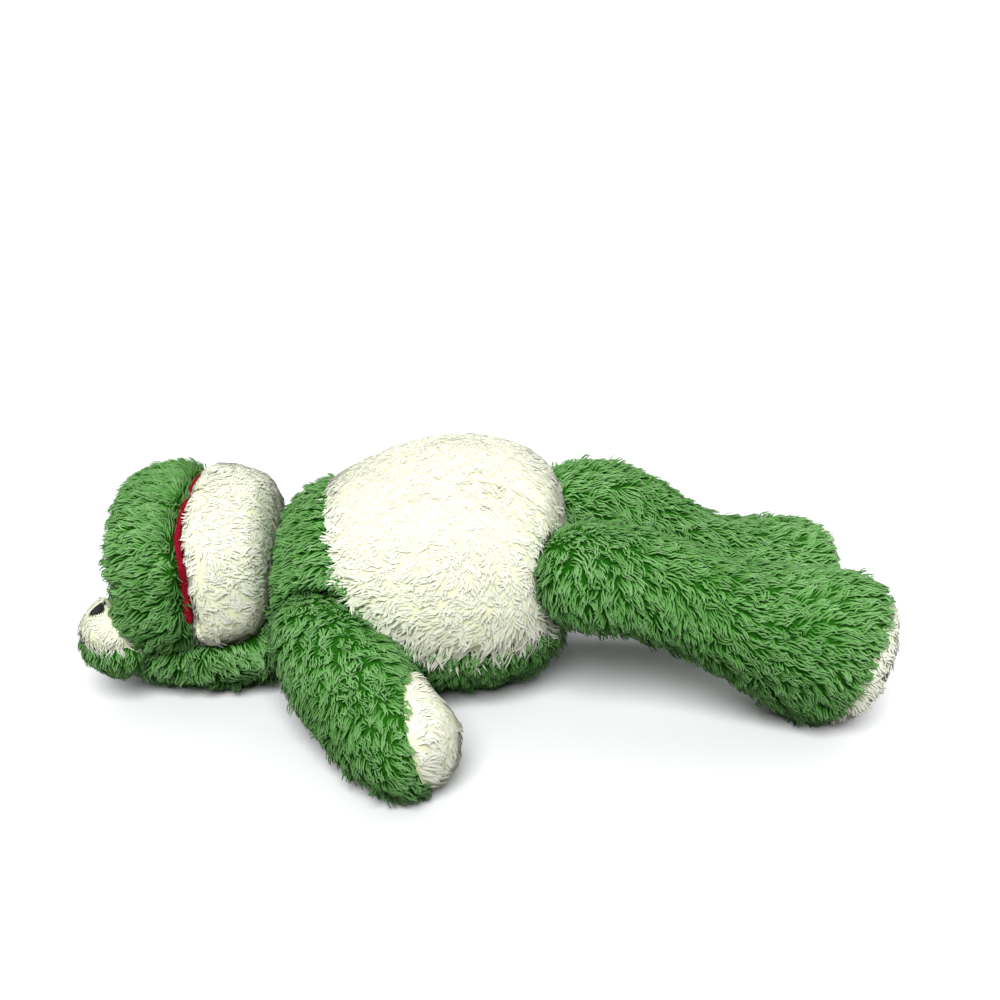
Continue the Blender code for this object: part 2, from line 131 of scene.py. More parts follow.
def apply(obj, kind, **settings):
    """Adds one modifier with these settings and applies it."""
    alone(obj)
    modifier = obj.modifiers.new(kind.title(), kind)
    for name, value in settings.items():
        setattr(modifier, name, value)
    bpy.ops.object.modifier_apply(modifier=modifier.name)
    return obj


print("operators ready")

# %% Read and write points
def points(obj):
    """The object's points, one row each."""
    found = np.empty(len(obj.data.vertices) * 3)
    obj.data.vertices.foreach_get("co", found)
    return found.reshape(-1, 3)


def move_to(obj, places):
    obj.data.vertices.foreach_set("co", places.ravel())
    obj.data.update()


def normals(obj):
    found = np.empty(len(obj.data.vertices) * 3)
    obj.data.vertex_normals.foreach_get("vector", found)
    return found.reshape(-1, 3)


def triangles(obj):
    """Three point numbers for each triangle of the mesh."""
    obj.data.calc_loop_triangles()
    found = np.empty(len(obj.data.loop_triangles) * 3, dtype=np.int32)
    obj.data.loop_triangles.foreach_get("vertices", found)
    return found.reshape(-1, 3)


def unit(vectors):
    """The vectors at length one."""
    size = np.linalg.norm(vectors, axis=-1, keepdims=True)
    return vectors / np.maximum(size, TINY)


def along(vectors, others):
    """How far each vector goes along the other, as a column."""
    return (vectors * others).sum(-1, keepdims=True)


print("arrays ready")

# %% Find neighbours
def search_tree(places):
    """A tree that finds which of the places are near a spot."""
    tree = KDTree(len(places))
    for k, place in enumerate(places):
        tree.insert(place, k)
    tree.balance()
    return tree


def spaced(places, spacing, order):
    """Numbers of the places that stay when, in this order, each clears the space round it."""
    tree = search_tree(places)
    free, kept = np.ones(len(places), dtype=bool), []
    for k in order:
        if free[k]:
            kept.append(k)
            for _, other, _ in tree.find_range(places[k], spacing):
                free[other] = False
    return kept


print("search ready")

# %% [markdown]
# ## The stuffed forms
#
# Under the pile, each part of the toy is a sewn bag pushed tight by its stuffing. A maker
# could sculpt such a bag, but a cloth simulation gives its crowned shape by itself. The
# plain skins and their wad are copied and joined into one closed bag for the torso, the back
# of the head, each jaw, each eye, arm and leg, and a remesh gives them one even outer skin.

# %% Join copies of the plain parts into closed bags
BAGS = {
    "torso": ("back_panel", "belly_panel", "torso_filling"),
    "head": ("head_back", "head_filling"),
    "crown": ("upper_jaw", "upper_jaw_filling"),
    "chin": ("lower_jaw", "lower_jaw_filling"),
}
for side in SIDES:
    BAGS[f"eye_{side}"] = (f"eye_white_{side}", f"eye_hood_{side}", f"eye_filling_{side}")
    BAGS[f"arm_{side}"] = (f"arm_{side}", f"palm_{side}", f"arm_filling_{side}")
    BAGS[f"leg_{side}"] = (f"leg_{side}", f"sole_{side}", f"leg_filling_{side}")

VOXEL = 4 * MM
EYE_VOXEL = 2 * MM
DOUBLES = 0.02 * MM
PILLOWS = ("head", "eye_left", "eye_right")  # their plain parts are hollowed by the muzzle


def copied(name, nodes):
    """One object from copies of the plain parts, with each part's triangles merged."""
    bpy.ops.object.select_all(action="DESELECT")
    for node in nodes:
        copy = added(name, frame["nodes"][node].data.copy())
        copy.select_set(True)
        bpy.context.view_layer.objects.active = copy
    if len(nodes) > 1:
        bpy.ops.object.join()
    joined = bpy.context.view_layer.objects.active
    joined.name = name
    joined.data.materials.clear()
    edit_mode()
    bpy.ops.mesh.remove_doubles(threshold=DOUBLES)
    object_mode()
    return joined


def filled_out(obj):
    """Closes a hollowed form into the full pillow that is sewn there."""
    alone(obj)
    edit_mode()
    bpy.ops.mesh.convex_hull()
    bpy.ops.mesh.normals_make_consistent(inside=False)
    object_mode()


def outer_skin(obj):
    """Keeps the shell that holds the highest point, and drops what is closed inside it."""
    alone(obj)
    edit_mode("DESELECT")
    object_mode()
    obj.data.vertices[int(points(obj)[:, 2].argmax())].select = True
    bpy.ops.object.mode_set(mode="EDIT")
    bpy.ops.mesh.select_linked()
    bpy.ops.mesh.select_all(action="INVERT")
    bpy.ops.mesh.delete(type="VERT")
    object_mode()


bags = {}
for name, nodes in BAGS.items():
    bag = copied(f"{name}_bag", nodes)
    if name in PILLOWS:
        filled_out(bag)
    size = EYE_VOXEL if name.startswith("eye") else VOXEL
    apply(bag, "REMESH", mode="VOXEL", voxel_size=size)
    outer_skin(bag)
    apply(bag, "SMOOTH", factor=0.5, iterations=4)
    bags[name] = bag
    print(name, len(bag.data.vertices), "points")

# %% [markdown]
# ## Push the bags into their own shapes
#
# A sewn toy is never as even as its pattern: the belly stands full, the crown is dented over
# its lip, the mouth bows and a foot is squashed. In sculpt mode a maker would use the grab
# brush. Here each push is written down as a place, a reach and a shift, and it fades away
# smoothly, so that it can be read and changed later.

# %% Push the bags
def on_both_sides(spot, reach, shift):
    """A push on the right side of the toy and the same one on the left."""
    x, y, z = spot
    return [((x, y, z), reach, shift), ((x, -y, z), reach, shift)]


MOUTH = [  # place, reach and shift, all in millimetres
    ((-106, 0, 92), (20, 90, 16), (-5.5, 0, 0)),
    ((-106, 0, 58), (20, 90, 24), (-0.8, 0, 0)),
]
NUDGES = {
    "torso": [((18, 0, 116), (62, 60, 40), (0, 0, 7)), ((60, 0, 105), (28, 60, 30), (1, 0, 3))],
    "crown": [*on_both_sides((-162, -30, 66), (26, 40, 34), (7, 0, 0)),
              *on_both_sides((-142, -48, 33), (15, 22, 14), (-4, 0, -2.5)), *MOUTH],
    "chin": [((-90, 0, 104), (34, 60, 26), (0, 0, 4.5)), *MOUTH],
    "mouth_felt": MOUTH,
    "leg_left": [((148, 62, 70), (28, 40, 30), (0, 0, -6)),
                 ((190, 62, 76), (26, 40, 26), (0, 0, -3)),
                 ((208, 45, 62), (18, 40, 26), (4, 0, 0))],
    "leg_right": [((88, -66, 36), (26, 40, 16), (0, 0, 3.5)),
                  ((205, -70, 70), (20, 30, 22), (1, 0, 3))],
}
for name, y in (("eye_left", 38), ("eye_right", -38)):
    NUDGES[name] = [((-150, y, 54), (16, 20, 9), (0, 0, 2)),
                    ((-166, y, 38), (12, 30, 16), (-2, 0, 0))]


def nudged(name, places):
    """The places after the part's pushes, each of which fades away from its middle."""
    moved = places.copy()
    for spot, reach, shift in NUDGES.get(name, ()):
        off = (places / MM - np.array(spot)) / np.array(reach)
        moved += np.exp(-(off**2).sum(1))[:, None] * np.array(shift) * MM
    return moved


for name, bag in bags.items():
    move_to(bag, nudged(name, points(bag)))
print(sum(len(pushes) for pushes in NUDGES.values()), "pushes")

# %% [markdown]
# ## Stuff the bags
#
# Pressure from inside swells every bag at once, with gravity off. A bag is held where it
# lies on the floor and where it is sewn into its neighbour, and no point may travel further
# than a small cap, so each form keeps its place and stays clear of the next one.

# %% Say what is sewn to what
EYES = ("eye_left", "eye_right")
LIMBS = ("arm_left", "arm_right", "leg_left", "leg_right")
SEWN_TO = {
    "torso": ("head", "chin"),
    "head": ("torso", "crown", "chin"),
    "crown": ("chin", *EYES),
    "chin": ("crown", "torso"),
    **{eye: ("crown", "head") for eye in EYES},
    **{limb: ("torso",) for limb in LIMBS},
}
NEIGHBOURS = {
    **SEWN_TO,
    "torso": ("head", "chin", *LIMBS),
    "head": ("torso", "crown", "chin", *EYES),
    "crown": ("chin", "head", *EYES),
    "chin": ("crown", "head", "torso"),
}
print(len(SEWN_TO), "bags have neighbours")

# %% Measure how deep places lie in a form
def tree_of(obj):
    """What depths() needs of a form: a search tree, and the corners and their normals."""
    corners, faces = points(obj), triangles(obj)
    tree = BVHTree.FromPolygons(corners.tolist(), faces.tolist())
    return tree, corners[faces], normals(obj)[faces]


def depths(places, form):
    """How far outside a closed form each place lies. Less than zero is inside."""
    tree, corners, ways = form
    spots, faces = np.empty((len(places), 3)), np.empty(len(places), dtype=int)
    for k, place in enumerate(places):
        spots[k], _, faces[k], _ = tree.find_nearest(place)
    a, b, c = (corners[faces, k] for k in range(3))
    whole = np.cross(b - a, c - a)
    size = np.maximum((whole**2).sum(1), TINY**2)
    shares = np.stack([
        (np.cross(b - spots, c - spots) * whole).sum(1),
        (np.cross(c - spots, a - spots) * whole).sum(1),
        (np.cross(a - spots, b - spots) * whole).sum(1),
    ], 1) / size[:, None]
    way = (ways[faces] * shares[:, :, None]).sum(1)
    away = places - spots
    return np.linalg.norm(away, axis=1) * np.where((away * way).sum(1) > 0, 1, -1)


print("depths ready")

# %% Swell the bags with the cloth simulation
PRESSURE = 4
FRAMES = 20
TRAVEL = 1.6 * MM
START_SMALLER = 1.6 * MM
THIN_SHARE = 0.2
RAY_START = 0.05 * MM  # how far under the skin a ray through the bag sets out
FLOOR_HOLD = 5 * MM
SEWN_WITHIN = 1.0 * MM


def smaller(bag, form):
    """The bag's points moved inwards, less where it is thin."""
    places, ways = points(bag), normals(bag)
    inwards = np.empty(len(places))
    for k, (place, way) in enumerate(zip(places, ways)):
        through = form[0].ray_cast(place - way * RAY_START, -way)[3]
        inwards[k] = min(START_SMALLER, THIN_SHARE * (through or 0))
    return places - ways * inwards[:, None]


def make_cloth(bag, held):
    """Gives the bag its cloth settings, held at these points."""
    group = bag.vertex_groups.new(name="held")
    group.add(np.flatnonzero(held).tolist(), 1.0, "REPLACE")
    cloth = bag.modifiers.new("Cloth", "CLOTH").settings
    cloth.quality = 4
    cloth.mass = 0.3
    cloth.use_pressure = True
    cloth.uniform_pressure_force = PRESSURE
    cloth.tension_stiffness = 12
    cloth.compression_stiffness = 12
    cloth.bending_stiffness = 0.3
    cloth.shrink_min = -0.02
    cloth.effector_weights.gravity = 0
    if held.any():
        cloth.vertex_group_mass = "held"


def swell(names):
    """Runs the cloth on all these bags together and applies it, capped."""
    forms = {name: tree_of(bags[name]) for name in names}
    before = {}
    for name in names:
        bag = bags[name]
        places = points(bag)
        before[name] = smaller(bag, forms[name])
        held = places[:, 2] < FLOOR_HOLD
        for other in SEWN_TO[name]:
            held |= depths(places, forms[other]) < SEWN_WITHIN
        move_to(bag, before[name])
        make_cloth(bag, held)
    for number in range(1, FRAMES + 1):
        bpy.context.scene.frame_set(number)
    for name in names:
        bag = alone(bags[name])
        bpy.ops.object.modifier_apply(modifier="Cloth")
        moved = points(bag) - before[name]
        far = np.linalg.norm(moved, axis=1, keepdims=True)
        moved *= np.minimum(1, TRAVEL / np.maximum(far, TINY))
        move_to(bag, before[name] + moved)
        apply(bag, "SMOOTH", factor=0.5, iterations=3)
        print(name, "swelled by up to", round(float(far.max()) / MM, 2), "mm before the cap")
    bpy.context.scene.frame_set(1)


swell(list(bags))
print("stuffed after", round(time.time() - started), "s")

# %% [markdown]
# ## Seams and the place where it lies
#
# Thread pulls a seam into a shallow valley. The belly's seam runs where a big ball would cut
# the torso, and the palms', soles' and eyes' seams run where a plane would. Each bag is
# divided once more, drawn in along its seam, and pressed flat where it rests. The belly also
# gets the soft folds that its stuffing leaves across the top.

# %% Say where the seams run
BELLY_CENTRE = np.array((34.2, 0.0, 116.0)) * MM
BELLY_HALF = np.array((80.0, 160.0, 84.0)) * MM
BELLY_LEAN = 0.13  # how far the ball's lower half leans to the head
EYE_SEAM = 35 * MM
SHOULDER = np.array((-47.5, -55.0, 44.0)) * MM
ARM_LENGTH = 79 * MM
ARM_TURN = math.radians(54)  # out to the side from straight ahead
PALM_SETBACK = 2 * MM
PALM_TILT = math.radians(14)
SOLE_TILT = math.radians(24)  # the right sole leans back
SOLE_TURN = math.radians(18)  # the left foot lies over on its side
ARM_AHEAD = np.array((math.cos(ARM_TURN), -math.sin(ARM_TURN), 0.0))
PALM_POINT = SHOULDER + ARM_AHEAD * ARM_LENGTH - np.array((PALM_SETBACK, 0.0, 0.0))
PALM_WAY = np.array((math.cos(PALM_TILT), 0.0, math.sin(PALM_TILT)))
SOLE_POINT = {
    "right": np.array((205.1, -43.0, 39.0)) * MM,
    "left": np.array((212.5, -43.0, 39.0)) * MM,
}
SOLE_WAY = {
    "right": np.array((math.cos(SOLE_TILT), 0.0, -math.sin(SOLE_TILT))),
    "left": np.array((math.cos(SOLE_TURN), -math.sin(SOLE_TURN), 0.0)),
}
MIRROR = np.array((1.0, -1.0, 1.0))


def mirrored(vectors, side):
    """The vectors as they are on that side of the toy. All are given for the right side."""
    return vectors * (MIRROR if side == "left" else 1)


SEAM_PLANES = {}  # bag: a point on its seam and the way to its cream side
for side in SIDES:
    SEAM_PLANES[f"eye_{side}"] = (np.array((0.0, 0.0, EYE_SEAM)), np.array((0.0, 0.0, 1.0)))
    SEAM_PLANES[f"arm_{side}"] = (mirrored(PALM_POINT, side), mirrored(PALM_WAY, side))
    SEAM_PLANES[f"leg_{side}"] = (
        mirrored(SOLE_POINT[side], side), mirrored(SOLE_WAY[side], side)
    )
print(len(SEAM_PLANES), "flat seams")

# %% Measure how far from its seam a place lies
def belly_side(places):
    """About how far past the belly's seam, on the cream side, each place lies."""
    off = places - BELLY_CENTRE
    off[:, 0] -= BELLY_LEAN * off[:, 2]
    scaled = off / BELLY_HALF
    return (1 - np.linalg.norm(scaled, axis=1)) * BELLY_HALF[0]


def past_plane(point, way):
    """A rule that says how far past a plane each place lies."""
    return lambda places: (places - point) @ way


cream_side = {"torso": belly_side}
for name, (point, way) in SEAM_PLANES.items():
    cream_side[name] = past_plane(point, way)
print("seams on", ", ".join(cream_side))

# %% Draw the seams in and flatten what rests
SEAM_DEPTH = 1.4 * MM
SEAM_SPREAD = 3.5 * MM
REST = 1.6 * MM  # height of the lowest cloth over the floor, under its pile
CREASES = (  # x, y and length of the folds across the belly's top, and their depth
    (34, -27, 17, 3.6),
    (37, -38, 21, 3.6),
    (0, -33, 14, 1.6),
)
CREASE_WIDTH = 2.8 * MM
CREASE_BOW = 0.006  # how far each fold bows to the right, in mm for each square mm along it
CREASES_ABOVE = 80 * MM


def fold(places):
    """How deep the soft folds across the belly's top are at each place."""
    depth = np.zeros(len(places))
    for x, y, length, deep in CREASES:
        off = places - np.array((x, y, 0)) * MM
        bow = off[:, 1] + CREASE_BOW * off[:, 0] ** 2 / MM
        shape = np.exp(-((bow / CREASE_WIDTH) ** 2) - (off[:, 0] / (length * MM)) ** 2)
        depth += deep * MM * shape * (places[:, 2] > CREASES_ABOVE)
    return depth


for name, bag in bags.items():
    apply(bag, "SUBSURF", levels=1, render_levels=1)
    places, ways = points(bag), normals(bag)
    dip = np.zeros(len(places))
    if name in cream_side:
        dip += SEAM_DEPTH * np.exp(-((cream_side[name](places) / SEAM_SPREAD) ** 2))
    if name == "torso":
        dip += fold(places)
    places = places - ways * dip[:, None]
    places[:, 2] = np.maximum(places[:, 2], REST)
    move_to(bag, places)
forms = {name: tree_of(bag) for name, bag in bags.items()}
print("bags span", min(points(b)[:, 0].min() for b in bags.values()), "to",
      max(points(b)[:, 0].max() for b in bags.values()))

# %% [markdown]
# ## Cut the skins
#
# On the toy each colour is its own piece of plush. A Boolean with one ball or one block per
# seam parts every bag the same way. The torso's green skin is cut once more along the spine,
# where the two halves of the back are sewn together.

# %% Model the cutters
BLOCK = 0.6  # wider than the whole toy
BALL_SEGMENTS = 96
BALL_RINGS = 48
KEPT_FACES = 0.5


def half_space(name, point, way):
    """A big block whose top lies on a plane and which holds what is past it."""
    bpy.ops.object.select_all(action="DESELECT")
    centre = Vector(point) + Vector(way) * (BLOCK / 2)
    turn = Vector((0, 0, 1)).rotation_difference(Vector(way))
    bpy.ops.mesh.primitive_cube_add(size=BLOCK, location=centre, rotation=turn.to_euler())
    bpy.context.object.name = name
    return bpy.context.object


def belly_ball():
    """The ball on whose surface the belly's seam lies."""
    bpy.ops.object.select_all(action="DESELECT")
    bpy.ops.mesh.primitive_uv_sphere_add(
        segments=BALL_SEGMENTS, ring_count=BALL_RINGS, radius=1,
        location=BELLY_CENTRE, scale=BELLY_HALF,
    )
    ball = bpy.context.object
    bpy.ops.object.transform_apply(location=True, rotation=True, scale=True)
    places = points(ball)
    places[:, 0] += BELLY_LEAN * (places[:, 2] - BELLY_CENTRE[2])
    move_to(ball, places)
    return ball


def parted(bag, cutter, cream, green):
    """Two skins from one bag: the cream one inside the cutter and the green one outside."""
    pair = []
    for name, operation in ((cream, "INTERSECT"), (green, "DIFFERENCE")):
        skin = added(name, bag.data.copy())
        apply(skin, "BOOLEAN", operation=operation, object=cutter, solver="EXACT")
        pair.append(skin)
    bpy.data.objects.remove(cutter)
    return pair


print("cutters ready")

# %% Part the bags by colour
PANELS = (  # bag, cream skin, green skin
    ("eye", "eye_white_plush", "eye_hood_plush"),
    ("arm", "palm_plush", "arm_plush"),
    ("leg", "sole_plush", "leg_plush"),
)
ONE_COLOUR = (("head_back_plush", "head"), ("crown_plush", "crown"), ("chin_plush", "chin"))
skins = {}
skins["belly_plush"], back = parted(bags["torso"], belly_ball(), "belly_plush", "back_plush")
for side, way in (("left", 1), ("right", -1)):
    half = added(f"back_plush_{side}", back.data.copy())
    spine = half_space("spine", (0, 0, 0), (0, way, 0))
    apply(half, "BOOLEAN", operation="INTERSECT", object=spine, solver="EXACT")
    bpy.data.objects.remove(spine)
    skins[half.name] = half
bpy.data.objects.remove(back)
for side in SIDES:
    for bag_name, cream, green in PANELS:
        bag_name = f"{bag_name}_{side}"
        block = half_space("seam", *SEAM_PLANES[bag_name])
        pair = parted(bags[bag_name], block, f"{cream}_{side}", f"{green}_{side}")
        skins.update({skin.name: skin for skin in pair})
for name, bag_name in ONE_COLOUR:
    skins[name] = added(name, bags[bag_name].data.copy())
for name, skin in skins.items():
    apply(skin, "DECIMATE", ratio=KEPT_FACES)
    print(name, len(skin.data.polygons), "faces")

# %% [markdown]
# ## One lock of pile
#
# Long plush is a field of soft curly locks, each a tuft of fibres that tapers to a point. On
# this toy they are close to a millimetre wide and up to ten long. Hair particles would draw
# them but can't be handed on as a mesh, so one lock is modelled: a three-sided stalk,
# extruded ring by ring and merged at its tip. The short cream pile gets fewer rings.

# %% Model a lock
LONG_RINGS = ((0.0, 0.85), (0.24, 1.05), (0.50, 1.0), (0.77, 0.72))  # height and width
SHORT_RINGS = ((0.0, 0.85), (0.34, 1.1), (0.70, 0.9))
SAME = 1e-6  # heights no further apart than this are the same


def lock(name, rings):
    """A stalk of height one and width one, with a ring at each place given."""
    bpy.ops.object.select_all(action="DESELECT")
    (_, foot), (height, width) = rings[:2]
    bpy.ops.mesh.primitive_cylinder_add(
        vertices=3, radius=width / 2, depth=height, location=(0, 0, height / 2)
    )
    stalk = bpy.context.object
    stalk.name = name
    bpy.ops.object.transform_apply(location=True, rotation=True, scale=True)
    places = points(stalk)
    places[places[:, 2] < height / 2, :2] *= foot / width
    move_to(stalk, places)
    edit_mode("DESELECT", "FACE")
    object_mode()
    for face in stalk.data.polygons:
        face.select = face.center.z > height * 0.99
    bpy.ops.object.mode_set(mode="EDIT")
    for place, wide in rings[2:]:
        bpy.ops.mesh.extrude_region_move(
            TRANSFORM_OT_translate={"value": (0, 0, place - height)}
        )
        bpy.ops.transform.resize(value=(wide / width, wide / width, 1))
        height, width = place, wide
    bpy.ops.mesh.extrude_region_move(TRANSFORM_OT_translate={"value": (0, 0, 1 - height)})
    bpy.ops.mesh.merge(type="CENTER")
    object_mode()
    return stalk


print("lock ready")

# %% Read the locks
BASE_SHARE = 0.02  # how high up its map a lock's underside lies


def turn_of(place):
    """How far round the stalk a place lies, in whole turns."""
    return math.atan2(place[1], place[0]) / math.tau


def pattern_of(stalk):
    """What copies of a lock need: its points, its faces, and where each corner lies on it."""
    places = points(stalk)
    corners, sizes, spots = [], [], []
    for face in stalk.data.polygons:
        sizes.append(len(face.vertices))
        heights = [places[v][2] for v in face.vertices]
        underside = max(heights) - min(heights) < SAME
        for v, height in zip(face.vertices, heights):
            corners.append(v)
            if underside:
                spots.append((0.5 + places[v][0], BASE_SHARE * (1 + places[v][1])))
            elif height > 1 - SAME:
                spots.append((0.5, height))
            else:
                gap = (turn_of(places[v]) - turn_of(face.center) + 0.5) % 1 - 0.5
                spots.append((0.5 + gap, height))
    return places, np.array(corners), np.array(sizes), np.array(spots)


patterns = {}
for name, rings in (("long", LONG_RINGS), ("short", SHORT_RINGS)):
    stalk = lock(f"{name}_lock", rings)
    patterns[name] = pattern_of(stalk)
    print(name, "lock:", len(triangles(stalk)), "triangles")
    bpy.data.objects.remove(stalk)

# %% [markdown]
# ## Where the locks grow
#
# Locks grow evenly but not in rows. Many random places are thrown on a bag, and each one
# kept clears the space around it. A place inside a neighbour, where nothing would be seen,
# gets none.

# %% Scatter the roots
SPREAD_TRIES = 3.2  # places thrown for each one that could be kept


def scattered(name, spacing, rng):
    """Places and normals on a bag, at least one spacing apart."""
    bag = bags[name]
    corners, faces, ways = points(bag), triangles(bag), normals(bag)
    a, b, c = (corners[faces[:, k]] for k in range(3))
    area = np.linalg.norm(np.cross(b - a, c - a), axis=1) / 2
    count = int(SPREAD_TRIES * area.sum() / spacing**2)
    chosen = rng.choice(len(faces), count, p=area / area.sum())
    first, second = rng.random((2, count))
    over = first + second > 1
    first[over], second[over] = 1 - first[over], 1 - second[over]
    shares = np.stack([1 - first - second, first, second], 1)[:, :, None]
    places = (corners[faces[chosen]] * shares).sum(1)
    facing = unit((ways[faces[chosen]] * shares).sum(1))
    kept = spaced(places, spacing, range(count))
    return places[kept], facing[kept]


def seen(name, places, clear):
    """Which places don't lie in another bag, or closer to it than clear."""
    free = np.ones(len(places), dtype=bool)
    for other in NEIGHBOURS[name]:
        left = np.flatnonzero(free)
        free[left] = depths(places[left], forms[other]) > clear
    return free


print("scatter ready")

# %% [markdown]
# ## How the pile lies
#
# Handling has brushed the pile of each part its own way. That is written down as brush
# strokes: a place on the right half of the toy and the way the tips point there. Between
# strokes the way is blended, the left half mirrors it across a soft parting, and some slow
# noise breaks it up.

# %% Brush strokes
STROKES = {  # place in millimetres, way of the tips
    "torso": [
        ((-62, -45, 60), (-1, -0.1, -0.45)), ((-58, 0, 92), (-1, -0.1, 0.1)),
        ((-40, -60, 40), (-0.8, -0.2, -0.7)), ((0, -66, 40), (-0.25, -0.1, -1)),
        ((0, -50, 8), (-0.4, -0.2, -1)), ((45, -60, 40), (0.35, -0.1, -1)),
        ((66, -30, 50), (0.4, -0.1, -1)), ((50, -35, 5), (0.6, -0.7, -0.2)),
        ((-60, -30, 10), (-0.8, -0.6, -0.2)), ((0, 0, 0), (-0.3, -1, 0)),
    ],
    "belly": [
        ((-38, -20, 95), (-1, -0.2, -0.5)), ((-38, -50, 75), (-1, -0.2, -0.7)),
        ((0, -30, 112), (-0.3, -1, 0)), ((30, 0, 116), (0.3, -1, 0)),
        ((0, -62, 65), (-0.2, -0.2, -1)), ((40, -60, 70), (0.25, -0.2, -1)),
        ((66, -35, 80), (0.6, -0.2, -0.8)), ((66, 0, 100), (1, -0.2, -0.2)),
    ],
    "head": [
        ((-130, -40, 20), (-0.6, -0.3, -0.4)), ((-90, -42, 25), (0.3, -0.4, -0.8)),
        ((-148, 0, 25), (-0.3, -0.2, -1)), ((-110, 0, 2), (-0.2, -1, 0)),
    ],
    "crown": [
        ((-130, -55, 65), (-1, 0, -0.05)), ((-115, -52, 85), (-1, 0, 0.1)),
        ((-130, 0, 103), (-1, -0.1, 0.1)), ((-152, -30, 65), (-0.3, -0.3, -1)),
        ((-120, -50, 32), (-1, -0.1, -0.15)), ((-150, -45, 40), (-0.6, -0.4, -0.8)),
        ((-130, -20, 24), (-0.8, -0.5, -0.2)),
    ],
    "chin": [
        ((-90, -56, 65), (0.35, -0.1, -1)), ((-100, -50, 90), (-0.4, -0.2, -0.3)),
        ((-90, 0, 102), (0.6, -0.5, 0.1)), ((-75, -40, 65), (0.8, -0.2, -0.7)),
        ((-90, -40, 30), (0.3, -0.3, -1)), ((-78, 0, 95), (1, -0.2, 0)),
    ],
    "eye": [
        ((-150, -38, 54), (-0.2, -0.3, -0.2)), ((-164, -40, 40), (-0.5, -0.2, -1)),
        ((-150, -55, 38), (-0.2, -0.5, -1)), ((-150, -38, 20), (-0.5, -0.4, -0.8)),
        ((-135, -50, 40), (0.2, -0.4, -1)),
    ],
    "arm": [
        ((-45, -60, 62), (0.2, -1, -0.2)), ((-60, -75, 45), (0.1, -0.8, -0.9)),
        ((-30, -90, 48), (0.5, -0.8, -0.4)), ((-40, -105, 25), (0.4, -0.6, -1)),
        ((-5, -130, 30), (0.5, -0.9, -0.6)), ((-20, -135, 15), (0.2, -0.8, -1)),
        ((0, -90, 30), (0.9, -0.2, -0.5)), ((-20, -110, 44), (0.6, -0.8, -0.1)),
    ],
    "palm": [
        ((20, -108, 28), (0.5, 0.0, -0.9)), ((10, -135, 25), (0.6, -0.9, -0.5)),
        ((8, -80, 28), (0.7, 0.8, -0.3)), ((14, -108, 46), (0.8, 0.0, 0.2)),
        ((18, -108, 6), (0.6, -0.1, -1)),
    ],
    "leg": [
        ((75, -70, 80), (0.15, -0.3, -1)), ((90, -78, 60), (0.25, -0.1, -1)),
        ((100, -45, 94), (1, -0.4, -0.1)), ((120, -70, 62), (0.7, -0.2, -0.8)),
        ((140, -60, 72), (1, -0.2, -0.2)), ((150, -72, 45), (0.9, -0.2, -0.7)),
        ((170, -74, 50), (0.8, 0, -0.5)), ((190, -70, 62), (1, 0, 0.15)),
        ((190, -82, 40), (1, -0.1, -0.45)), ((180, -78, 18), (0.6, -0.3, -1)),
        ((130, -50, 35), (0.6, -0.2, -0.8)), ((170, -45, 70), (1, -0.1, 0)),
        ((110, -20, 70), (0.8, 0.3, -0.7)), ((190, -25, 40), (1, 0.3, -0.4)),
    ],
    "sole": [
        ((215, -50, 40), (0.7, 0.0, -0.8)), ((212, -80, 35), (0.9, -0.6, -0.5)),
        ((208, -50, 64), (1, 0.0, 0.2)), ((205, -50, 4), (0.7, -0.2, -1)),
        ((212, -25, 35), (0.9, 0.6, -0.4)),
    ],
}
print(sum(len(strokes) for strokes in STROKES.values()), "brush strokes")

# %% Brush the pile
NOISE_SIZE = 16 * MM
NOISE_WAVES = 6
NOISE_HEIGHT = 2.4  # what the waves' sum is divided by
PARTING = 24 * MM  # width over which the two halves blend
STROKE_REACH = 4  # in millimetres
STROKE_FADE = 2.5
noise_rng = np.random.default_rng(11)
WAVES = noise_rng.normal(size=(3, NOISE_WAVES, 3)) / NOISE_SIZE
PHASES = noise_rng.uniform(0, math.tau, (3, NOISE_WAVES))


def slow_noise(places, row=None):
    """Smooth noise between about -1 and 1: three values a place, or only one of them."""
    rows = range(3) if row is None else (row,)
    found = [np.sin(places @ WAVES[k].T + PHASES[k]).sum(1) / NOISE_HEIGHT for k in rows]
    return np.stack(found, 1) if row is None else found[0]


def brushed(stroke_name, places, facing, stray):
    """The way the pile lies at each place, along the surface, blended across the middle."""
    leftness = np.clip(0.5 + places[:, 1:2] / PARTING, 0, 1)
    total = stray * slow_noise(places)
    for side, share in (("right", 1 - leftness), ("left", leftness)):
        there, half = mirrored(places, side), np.zeros_like(places)
        for spot, way in STROKES[stroke_name]:
            apart = np.linalg.norm(there - np.array(spot) * MM, axis=1, keepdims=True)
            half += np.array(way) / (apart / MM + STROKE_REACH) ** STROKE_FADE
        total = total + share * mirrored(unit(half), side)
    return unit(total - facing * along(total, facing))


print("brush ready")

# %% [markdown]
# ## Grow the pile
#
# Each copy of the lock follows its own curve: up from the skin, over in the brushed way and
# wavy sideways. Neighbouring locks lean together into tufts that share their wave, which is
# what makes plush look curly and gives it dark partings. Nothing goes below the floor.

# %% Gather the locks into tufts
TUFT_SPACING = 3.0 * MM
Planting = namedtuple("Planting", "roots facing ways length stand width curl")
Look = namedtuple("Look", "flat bounce soft veer")
# A planting has one row for each lock. A look says how flat locks are, how far they wave
# upwards, how much they shade as their skin does, and how far they veer.


